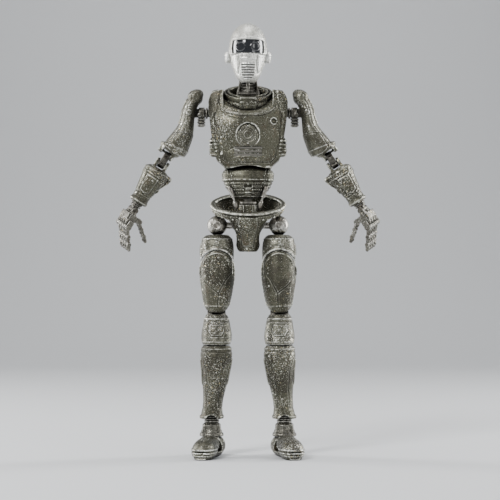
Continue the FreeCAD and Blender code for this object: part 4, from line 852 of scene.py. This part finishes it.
def make_arm_mechanics(side, sign):
    """Shoulder hub, elbow link, wrist, palm, fingers and thumb."""
    options = {"voxel": 0.2, "soften": 1, "material": GUNMETAL}
    built(f"{side}_shoulder_works", f"{side}_shoulder", "silver", hub_forms(), sign, f"{side}_shoulder_hub",
          voxel=0.28, soften=2, material=GUNMETAL)
    built(f"{side}_elbow_works", f"{side}_elbow", "dark", elbow_forms(), sign, f"{side}_elbow_link",
          voxel=0.2, soften=1)
    built(f"{side}_wrist_works", f"{side}_wrist", "silver", wrist_forms(), sign, f"{side}_wrist", **options)
    built(f"{side}_palm_plates", f"{side}_palm", "silver", palm_forms(), sign, f"{side}_palm", **options)
    for index, y in enumerate(FINGER_ROWS, 1):
        forms = finger_forms((0, y, KNUCKLE_Z), 39.3, (7.4, 5.6, 4.6))
        built(f"{side}_finger_{index}_bones", f"{side}_finger_{index}", "silver", forms, sign,
              f"{side}_finger_{index}", **options)
    forms = finger_forms(THUMB_ROOT, 54.3, (6.3, 5.6, 4.6))
    built(f"{side}_thumb_bones", f"{side}_thumb", "silver", forms, sign, f"{side}_thumb", **options)


def upper_arm_detail(p, n):
    x, y, z = p.T
    d = lumps(p, 6.0, 0.08)
    outer = ramp(n[:, 0], 0.0, 0.4)
    d += groove(y, z, [(-3.4, 252), (-4.2, 240), (-4.0, 226), (-2.6, 212)], outer, 0.5, 0.4)
    d += groove(y, z, [(13.4, 252), (14.2, 240), (14.0, 226), (12.6, 212)], outer, 0.5, 0.4)
    d += plate(y, z, [(0.4, 248), (9.6, 248), (11.0, 236), (8.6, 230), (1.4, 230), (-1.0, 236)], outer, 0.6)
    d += groove(x, z, [(30, 243.6), (50, 240.0)], FRONT(n) + BACK(n), 0.5, 0.35)
    d += groove(x, z, [(38, 222.5), (56, 225.5)], FRONT(n) + BACK(n), 0.5, 0.4)
    d += 0.5 * bell(z - 214.4 - (x - 51) * 0.4, 1.4)
    d += studs(p, [(40.6, -4.9, 238.0), (40.6, 14.9, 238.0)], 2.2, 0.7)
    d += studs(p, [(46.2, 5, 240.6), (48.6, 1.6, 226.6), (48.6, 8.4, 226.6)], 0.8, 0.4)
    return d


def forearm_detail(p, n):
    u, v, w = arm_frame(p, ELBOW_STEP)
    d = lumps(p, 6.0, 0.08)
    out = ramp(np.hypot(u, v), 4.2, 5.0)
    d += 0.45 * bell(w - 6.2, 1.2) * out
    d -= 0.45 * bell(w - 8.4, 0.55) * out
    d -= 0.45 * bell(w - 24.6, 0.5) * out
    d += 0.5 * bell(w - 30.2, 1.3) * out
    d -= 0.35 * bell(w - 28.2, 0.5) * out
    front = ramp(-v, 1.0, 3.0)
    d += plate(u, w, [(-4.6, 10.5), (4.6, 10.5), (3.8, 22.4), (0, 24.0), (-3.8, 22.4)], front * out, 0.55)
    back = ramp(v, 1.0, 3.0)
    d += plate(u, w, [(-4.0, 10.5), (4.0, 10.5), (3.0, 20.4), (-3.0, 20.4)], back * out, 0.55)
    d += groove(v, w, [(0, 10), (0, 24)], ramp(np.abs(u), 4.0, 5.5), 0.5, 0.4)
    lug = np.hypot(v, w - 18.0)
    d += 0.8 * ramp(2.0 - lug, 0, 0.6) * ramp(-u, 3.0, 4.5)
    return d


# ------------------------------------------------------------------ legs
def knee_bend(p):
    """Slimmer towards the top."""
    shift = np.zeros_like(p)
    slim = 0.15 * ramp(p[:, 2], 80.0, 92.0)
    shift[:, 0] = -(p[:, 0] - KNEE_X) * slim
    shift[:, 1] = -(p[:, 1] - BODY_Y) * 0.6 * slim
    return shift


def hip_detail(p, n):
    """Equator seam and small screws around the ball."""
    away = p - np.array(HIP)
    d = -0.35 * bell(away[:, 0] * 0.94 + away[:, 2] * 0.34, 0.5)
    d += 0.3 * bell(np.hypot(away[:, 0], away[:, 2]) - 2.6, 0.7) * FRONT(n)
    return d + studs(p, [(25.6, 0.6, 163.4), (25.6, 9.4, 163.4)], 0.7, 0.35)


def ankle_forms():
    """Stepped cone over the foot, bellows into the shin and a tongue below."""
    middle = Matrix.Translation((ANKLE_X, ANKLE_Y, 0))
    cone = [(8.2, 13.7), (8.5, 14.6), (8.1, 15.8), (7.4, 16.4), (7.2, 17.6), (6.7, 18.2), (6.4, 20.6),
            (6.5, 21.6), (5.6, 22.6)]
    forms = [lathe(cone, middle), ribbed(5.5, 22.0, 27.6, 4, 0.7, middle)]
    turn = middle @ Matrix.Rotation(FOOT_TURN, 4, "Z")
    forms.append(block((0, 0, 12.0), (3.1, 2.4, 2.6), turn))
    roll_pin = turn @ Matrix.Translation((0, 0, 9.6)) @ Matrix.Rotation(pi / 2, 4, "X")
    forms.append(lathe([(3.1, -2.4), (3.1, 2.4)], roll_pin))
    for x in (-5.6, 5.6):
        forms += placed(middle, [pill((x, -5.0, 16.0), (x * 0.86, -4.4, 21.4), 1.0)])
    return forms


def thigh_cap_detail(p, n):
    x, y, z = p.T
    d = lumps(p, 7.0, 0.10)
    out = ramp(np.hypot(x - THIGH_X, y - 5), 7.0, 8.0)
    seam = np.hypot(x - THIGH_X, z - SPLAY_Z)
    d += 0.5 * bell(seam - 12.6, 1.1) * (FRONT(n) + BACK(n))
    d -= 0.35 * bell(seam - 14.6, 0.5) * (FRONT(n) + BACK(n))
    d += 0.4 * bell(z - 150.6, 1.0) * out
    d += studs(p, [(21.5, -5.5, 148.6), (21.5, 15.5, 148.6)], 0.8, 0.4)
    d += plate(y, z, [(0.6, 147.6), (9.4, 147.6), (10.6, 138.6), (-0.6, 138.6)], OUTER(n), 0.5)
    return d


def thigh_detail(p, n):
    x, y, z = p.T
    c = x - THIGH_X
    d = lumps(p, 8.0, 0.16)
    front, back, outer, inner = FRONT(n), BACK(n), OUTER(n), INNER(n)
    # long muscle-like plates meeting in a chevron
    d += groove(c, z, [(-10.6, 127.5), (-5.6, 122.0), (-1.2, 113.6), (-0.6, 103.5)], front, 0.6, 0.45)
    d += groove(c, z, [(10.6, 124.0), (5.4, 118.0), (-1.0, 113.4)], front, 0.6, 0.45)
    d += 0.7 * np.exp(-((c + 2.5) / 5.0) ** 2 - ((z - 121) / 8.0) ** 2) * front
    d -= 0.5 * np.exp(-((c - 5.5) / 3.0) ** 2 - ((z - 110) / 5.0) ** 2) * front
    d += 0.5 * bell(np.hypot(c, z - SPLAY_Z) - 9.4, 1.0) * front * ramp(z, 131, 134)
    d += groove(y, z, [(0, 129), (1.5, 118), (0.5, 106)], outer + inner, 0.5, 0.4)
    d += plate(y, z, [(3.4, 124), (10.2, 124), (9.2, 110), (5.0, 107.4)], outer, 0.5)
    d += groove(c, z, [(-8, 112), (0, 108.6), (8, 112)], back, 0.6, 0.4)
    d += 0.5 * bell(z - 104.4, 1.2) * ramp(np.hypot(c, y - 5), 5.0, 5.8)
    screws = [(THIGH_X - 6.4, -3.3, 126.8), (THIGH_X + 6.0, -3.4, 124.0), (THIGH_X + 4.4, -2.4, 107.4)]
    d += studs(p, screws, 0.75, 0.4)
    return d


def guard_detail(p, n):
    x, y, z = p.T
    d = lumps(p, 6.0, 0.1)
    d += 0.4 * bell(z - 134.6, 1.1) + 0.4 * bell(z - 105.8, 1.1)
    d += groove(x, z, [(21.5, 134), (21.5, 106)], BACK(n), 0.6, 0.45)
    d += plate(np.abs(x - THIGH_X), z, [(2.4, 131), (7.4, 131), (6.2, 117), (2.4, 113)], BACK(n), 0.6)
    return d


def knee_cap_detail(p, n):
    x, y, z = p.T
    c = x - KNEE_X
    front = ramp(-(y - 5), 1.0, 3.0)
    d = lumps(p, 7.0, 0.10)
    d += 0.55 * bell(z - 95.4, 1.1) * front
    d -= 0.4 * bell(z - 93.4, 0.55) * front
    d += 0.45 * bell(z - 79.6, 1.2) * front
    d -= 0.4 * bell(z - 82.0, 0.55) * front
    shield = [(-4.6, 91.8), (4.6, 91.8), (5.6, 87), (3.6, 83.6), (-3.6, 83.6), (-5.6, 87)]
    d += plate(c, z, shield, FRONT(n), 0.6)
    d += studs(p, [(21.8 + s * 8.2, -2.4, 87.6) for s in (1, -1)], 0.9, 0.5)
    return d


def shin_detail(p, n):
    x, y, z = p.T
    c = x - (KNEE_X + (77 - z) * 0.068)
    front, back, outer, inner = FRONT(n), BACK(n), OUTER(n), INNER(n)
    out = ramp(np.hypot(c, y - 5), 4.6, 5.6)
    d = lumps(p, 8.0, 0.14)
    # shin ridge, calf swell, seams
    d += 0.8 * np.exp(-(c / 3.0) ** 2) * front * ramp(z, 34, 44) * ramp(75 - z, 0, 6)
    d += 0.9 * np.exp(-((z - 64) / 8.0) ** 2) * back
    d += groove(c, z, [(-9.5, 70.5), (-6.0, 60.5), (-4.0, 46), (-4.4, 34)], front, 0.6, 0.42)
    d += groove(c, z, [(9.5, 70.5), (6.0, 60.5), (4.0, 46), (4.4, 34)], front, 0.6, 0.42)
    d += 0.5 * bell(z - 74.6, 1.1) * out
    d -= 0.4 * bell(z - 72.6, 0.55) * out
    d += 0.6 * bell(z - 27.4, 1.6) * out
    d -= 0.4 * bell(z - 33.4, 0.6) * out
    d += plate(y, z, [(1, 68), (9, 68), (9.8, 56), (5.6, 49), (1.6, 54)], outer + inner, 0.5)
    d += groove(c, z, [(0, 73), (0, 40)], back, 0.6, 0.45)
    for i in range(3):
        d -= 0.4 * bell(z - 37.0 - 2.2 * i, 0.6) * back
    d += studs(p, [(21.9 + s * 7.2, -3.3, 69.6) for s in (1, -1)], 0.8, 0.4)
    return d


# ------------------------------------------------------------------ feet
def foot_frame(p):
    """Across, along (toe is negative) and height, measured from below the ankle."""
    x, y, z = p.T
    dx, dy = x - ANKLE_X, y - ANKLE_Y
    return (dx * cos(FOOT_TURN) + dy * sin(FOOT_TURN),
            -dx * sin(FOOT_TURN) + dy * cos(FOOT_TURN), z)


def foot_bend(p):
    """Narrower, rounder and slightly higher towards the toe."""
    u, v, z = foot_frame(p)
    ahead = ramp(-v, -4.0, 14.0)
    slim = 0.13 * ahead + 0.14 * ramp(4.5 - z, 0, 4.0) * ahead
    shift = np.zeros_like(p)
    shift[:, 0] = -u * slim * cos(FOOT_TURN)
    shift[:, 1] = -u * slim * sin(FOOT_TURN)
    shift[:, 2] = 1.3 * ahead * ramp(z, 3.0, 12.0)
    return shift


def thigh_bend(p):
    """Fuller thigh about the leg's own line."""
    shift = np.zeros_like(p)
    full = 0.07 * ramp(p[:, 2], 92.0, 108.0)
    shift[:, 0] = (p[:, 0] - 21.6) * full
    shift[:, 1] = (p[:, 1] - BODY_Y) * 0.7 * full
    return shift


def foot_detail(p, n):
    u, v, z = foot_frame(p)
    d = lumps(p, 6.0, 0.08)
    out = ramp(z, 1.2, 2.0)
    d -= 0.4 * bell(z - 2.6, 0.5)
    d += groove(v, z, [(8.5, 14), (6.0, 8.5), (-12.5, 6.8)], out * ramp(np.abs(n[:, 0]), 0.2, 0.5), 0.5, 0.4)
    d += 0.4 * bell(v - 9.4, 1.2) * out
    d += studs(np.column_stack([u, v, z]), [(s * 8.6, 0, 10.4) for s in (1, -1)], 1.6, 0.5)
    return d


def toe_detail(p, n):
    u, v, z = foot_frame(p)
    d = lumps(p, 6.0, 0.08)
    upper = ramp(z, 6.6, 7.4)
    d += 0.5 * bell(z - 6.8, 0.9) * ramp(-v, 15.5, 17.0)
    arc = np.hypot(u, (v + 23.5) * 1.1)
    d += groove(u, v, polar(0, -16.5, 7.2, 200, 340), upper, 0.6, 0.45)
    d += groove(u, v, [(0, -14.5), (0, -29)], upper, 0.5, 0.35)
    for i in range(3):
        d -= 0.5 * bell(z - 1.7 - 1.9 * i, 0.55) * ramp(-v, 17, 18.5)
    d += 0.3 * bell(arc - 3.4, 0.8) * upper
    return d


def cover_detail(p, n):
    """Machined rings and six screws on the round cover."""
    x, y, z = p.T
    away = np.hypot(x, z - COVER_Z)
    d = -0.3 * bell(away - 4.6, 0.5) + 0.25 * bell(away - 2.6, 0.7)
    screws = [(5.9 * cos(radians(a)), -12.4, COVER_Z + 5.9 * sin(radians(a)))
              for a in range(30, 390, 60)]
    return d * FRONT(n) + studs(p, screws, 0.75, 0.4)


def flank_ribs(side):
    """Ribbed block on the chest's side, below the arm."""
    forms = [block((side * 23.3, -1.0, 213.6), (2.6, 4.2, 6.4))]
    for level in range(4):
        forms.append(block((side * 24.0, -1.2, 209.2 + 2.9 * level), (2.7, 5.0, 0.8)))
    return forms


DETAIL = {
    "chest_front": (chest_front_detail, {"bend": chest_bend, "soften": 6,
                                         "extra": [collar_yoke()] + flank_ribs(1) + flank_ribs(-1)}),
    "chest_back": (chest_back_detail, {"bend": chest_bend}),
    "chest_cover": (cover_detail, {"voxel": 0.25, "soften": 1}),
    "abdomen": (abdomen_detail, {"extra": waist_forms()}),
    "waist_buckle": (None, {"voxel": 0.25, "soften": 1}),
    "pelvis_shell": (pelvis_detail, {"extra": [hip_band(), mirrored(hip_band())]}),
    "head_shell": (head_detail, {}), "jaw": (jaw_detail, {}), "visor": (visor_detail, {"voxel": 0.3}),
}
SIDE_DETAIL = {
    "upper_arm": (upper_arm_detail, {"bend": upper_arm_bend, "extra": [shoulder_cap()] + arm_cup()}),
    "forearm": (forearm_detail, {"extra": forearm_forms()}),
    "hip_ball": (hip_detail, {"voxel": 0.3, "soften": 1}),
    "thigh_cap": (thigh_cap_detail, {"bend": thigh_bend}), "thigh": (thigh_detail, {"bend": thigh_bend}),
    "thigh_guard": (guard_detail, {"bend": thigh_bend}),
    "knee_cap": (knee_cap_detail, {"bend": knee_bend}), "shin": (shin_detail, {}),
    "foot": (foot_detail, {"bend": foot_bend}), "toe_cap": (toe_detail, {"bend": foot_bend}),
}
for node, (detail, options) in DETAIL.items():
    detailed(node, detail, **options)
make_collar()
make_neck()
make_struts()
for side, sign in SIDES.items():
    for node, (detail, options) in SIDE_DETAIL.items():
        detailed(f"{side}_{node}", detail, **options)
    built(f"{side}_ankle_works", f"{side}_ankle", "silver", ankle_forms(), sign, f"{side}_ankle",
          voxel=0.28, soften=1, material=GUNMETAL)
    make_arm_mechanics(side, sign)

# every CAD piece still showing gets its material
for name, piece in NODES.items():
    if not piece.hide_render:
        for index in range(len(piece.material_slots)):
            piece.material_slots[index].material = MATERIAL[SLOT_OF[name]]


# ------------------------------------------------------------------ stage
def make_stage():
    """Pale floor that curves up into a pale backdrop."""
    work = bmesh.new()
    profile = [(-2.5, 0.0), (1.0, 0.0)]
    profile += [(1.0 + 0.6 * sin(radians(a)), 0.6 - 0.6 * cos(radians(a)))
                for a in range(10, 91, 10)]
    profile += [(1.6, 3.0)]
    rows = [[work.verts.new((x, y, z)) for y, z in profile] for x in (-4.0, 4.0)]
    for i in range(len(profile) - 1):
        work.faces.new((rows[0][i], rows[1][i], rows[1][i + 1], rows[0][i + 1]))
    mesh = bpy.data.meshes.new("studio_floor")
    work.to_mesh(mesh)
    work.free()
    floor = link(bpy.data.objects.new("studio_floor", mesh))
    shade_smooth(mesh)
    material = bpy.data.materials.new("studio_floor")
    material.use_nodes = True
    shader = material.node_tree.nodes["Principled BSDF"]
    shader.inputs["Base Color"].default_value = (0.60, 0.61, 0.62, 1)
    shader.inputs["Roughness"].default_value = 0.6
    mesh.materials.append(material)


def area_light(name, place, target, size, power, color=(1, 1, 1)):
    data = bpy.data.lights.new(name, "AREA")
    data.shape = "RECTANGLE"
    data.size, data.size_y = size
    data.energy = power
    data.color = color
    lamp = link(bpy.data.objects.new(name, data))
    lamp.location = place
    lamp.rotation_euler = (Vector(target) - Vector(place)).to_track_quat("-Z", "Y").to_euler()


def make_lights():
    middle = (0, 0, 0.16)
    area_light("key", (-0.7, -1.0, 1.0), middle, (0.40, 0.55), 24.0)
    area_light("fill", (0.95, -0.9, 0.45), middle, (0.5, 0.9), 5.0)
    area_light("rim_left", (0.9, 0.35, 0.4), middle, (0.25, 0.9), 15.0)
    area_light("rim_right", (-0.9, 0.35, 0.35), middle, (0.25, 0.9), 15.0)
    area_light("top", (0, 0.1, 1.3), middle, (0.8, 0.8), 8.0)
    world = bpy.data.worlds.new("studio")
    bpy.context.scene.world = world
    world.use_nodes = True
    back = world.node_tree.nodes["Background"]
    back.inputs["Color"].default_value = (0.80, 0.83, 0.88, 1)
    back.inputs["Strength"].default_value = 0.28


def make_camera():
    """Level long lens straight in front of the figure, at the photograph's height."""
    data = bpy.data.cameras.new("camera")
    data.sensor_width = 36.0
    distance, width = 1.30, 0.3456
    data.lens = data.sensor_width * distance / width
    camera = link(bpy.data.objects.new("camera", data))
    camera.location = (0.0014, -distance, 0.143)
    camera.rotation_euler = (radians(90), 0, 0)
    data.clip_start, data.clip_end = 0.01, 20.0
    bpy.context.scene.camera = camera


make_stage()
make_lights()
make_camera()
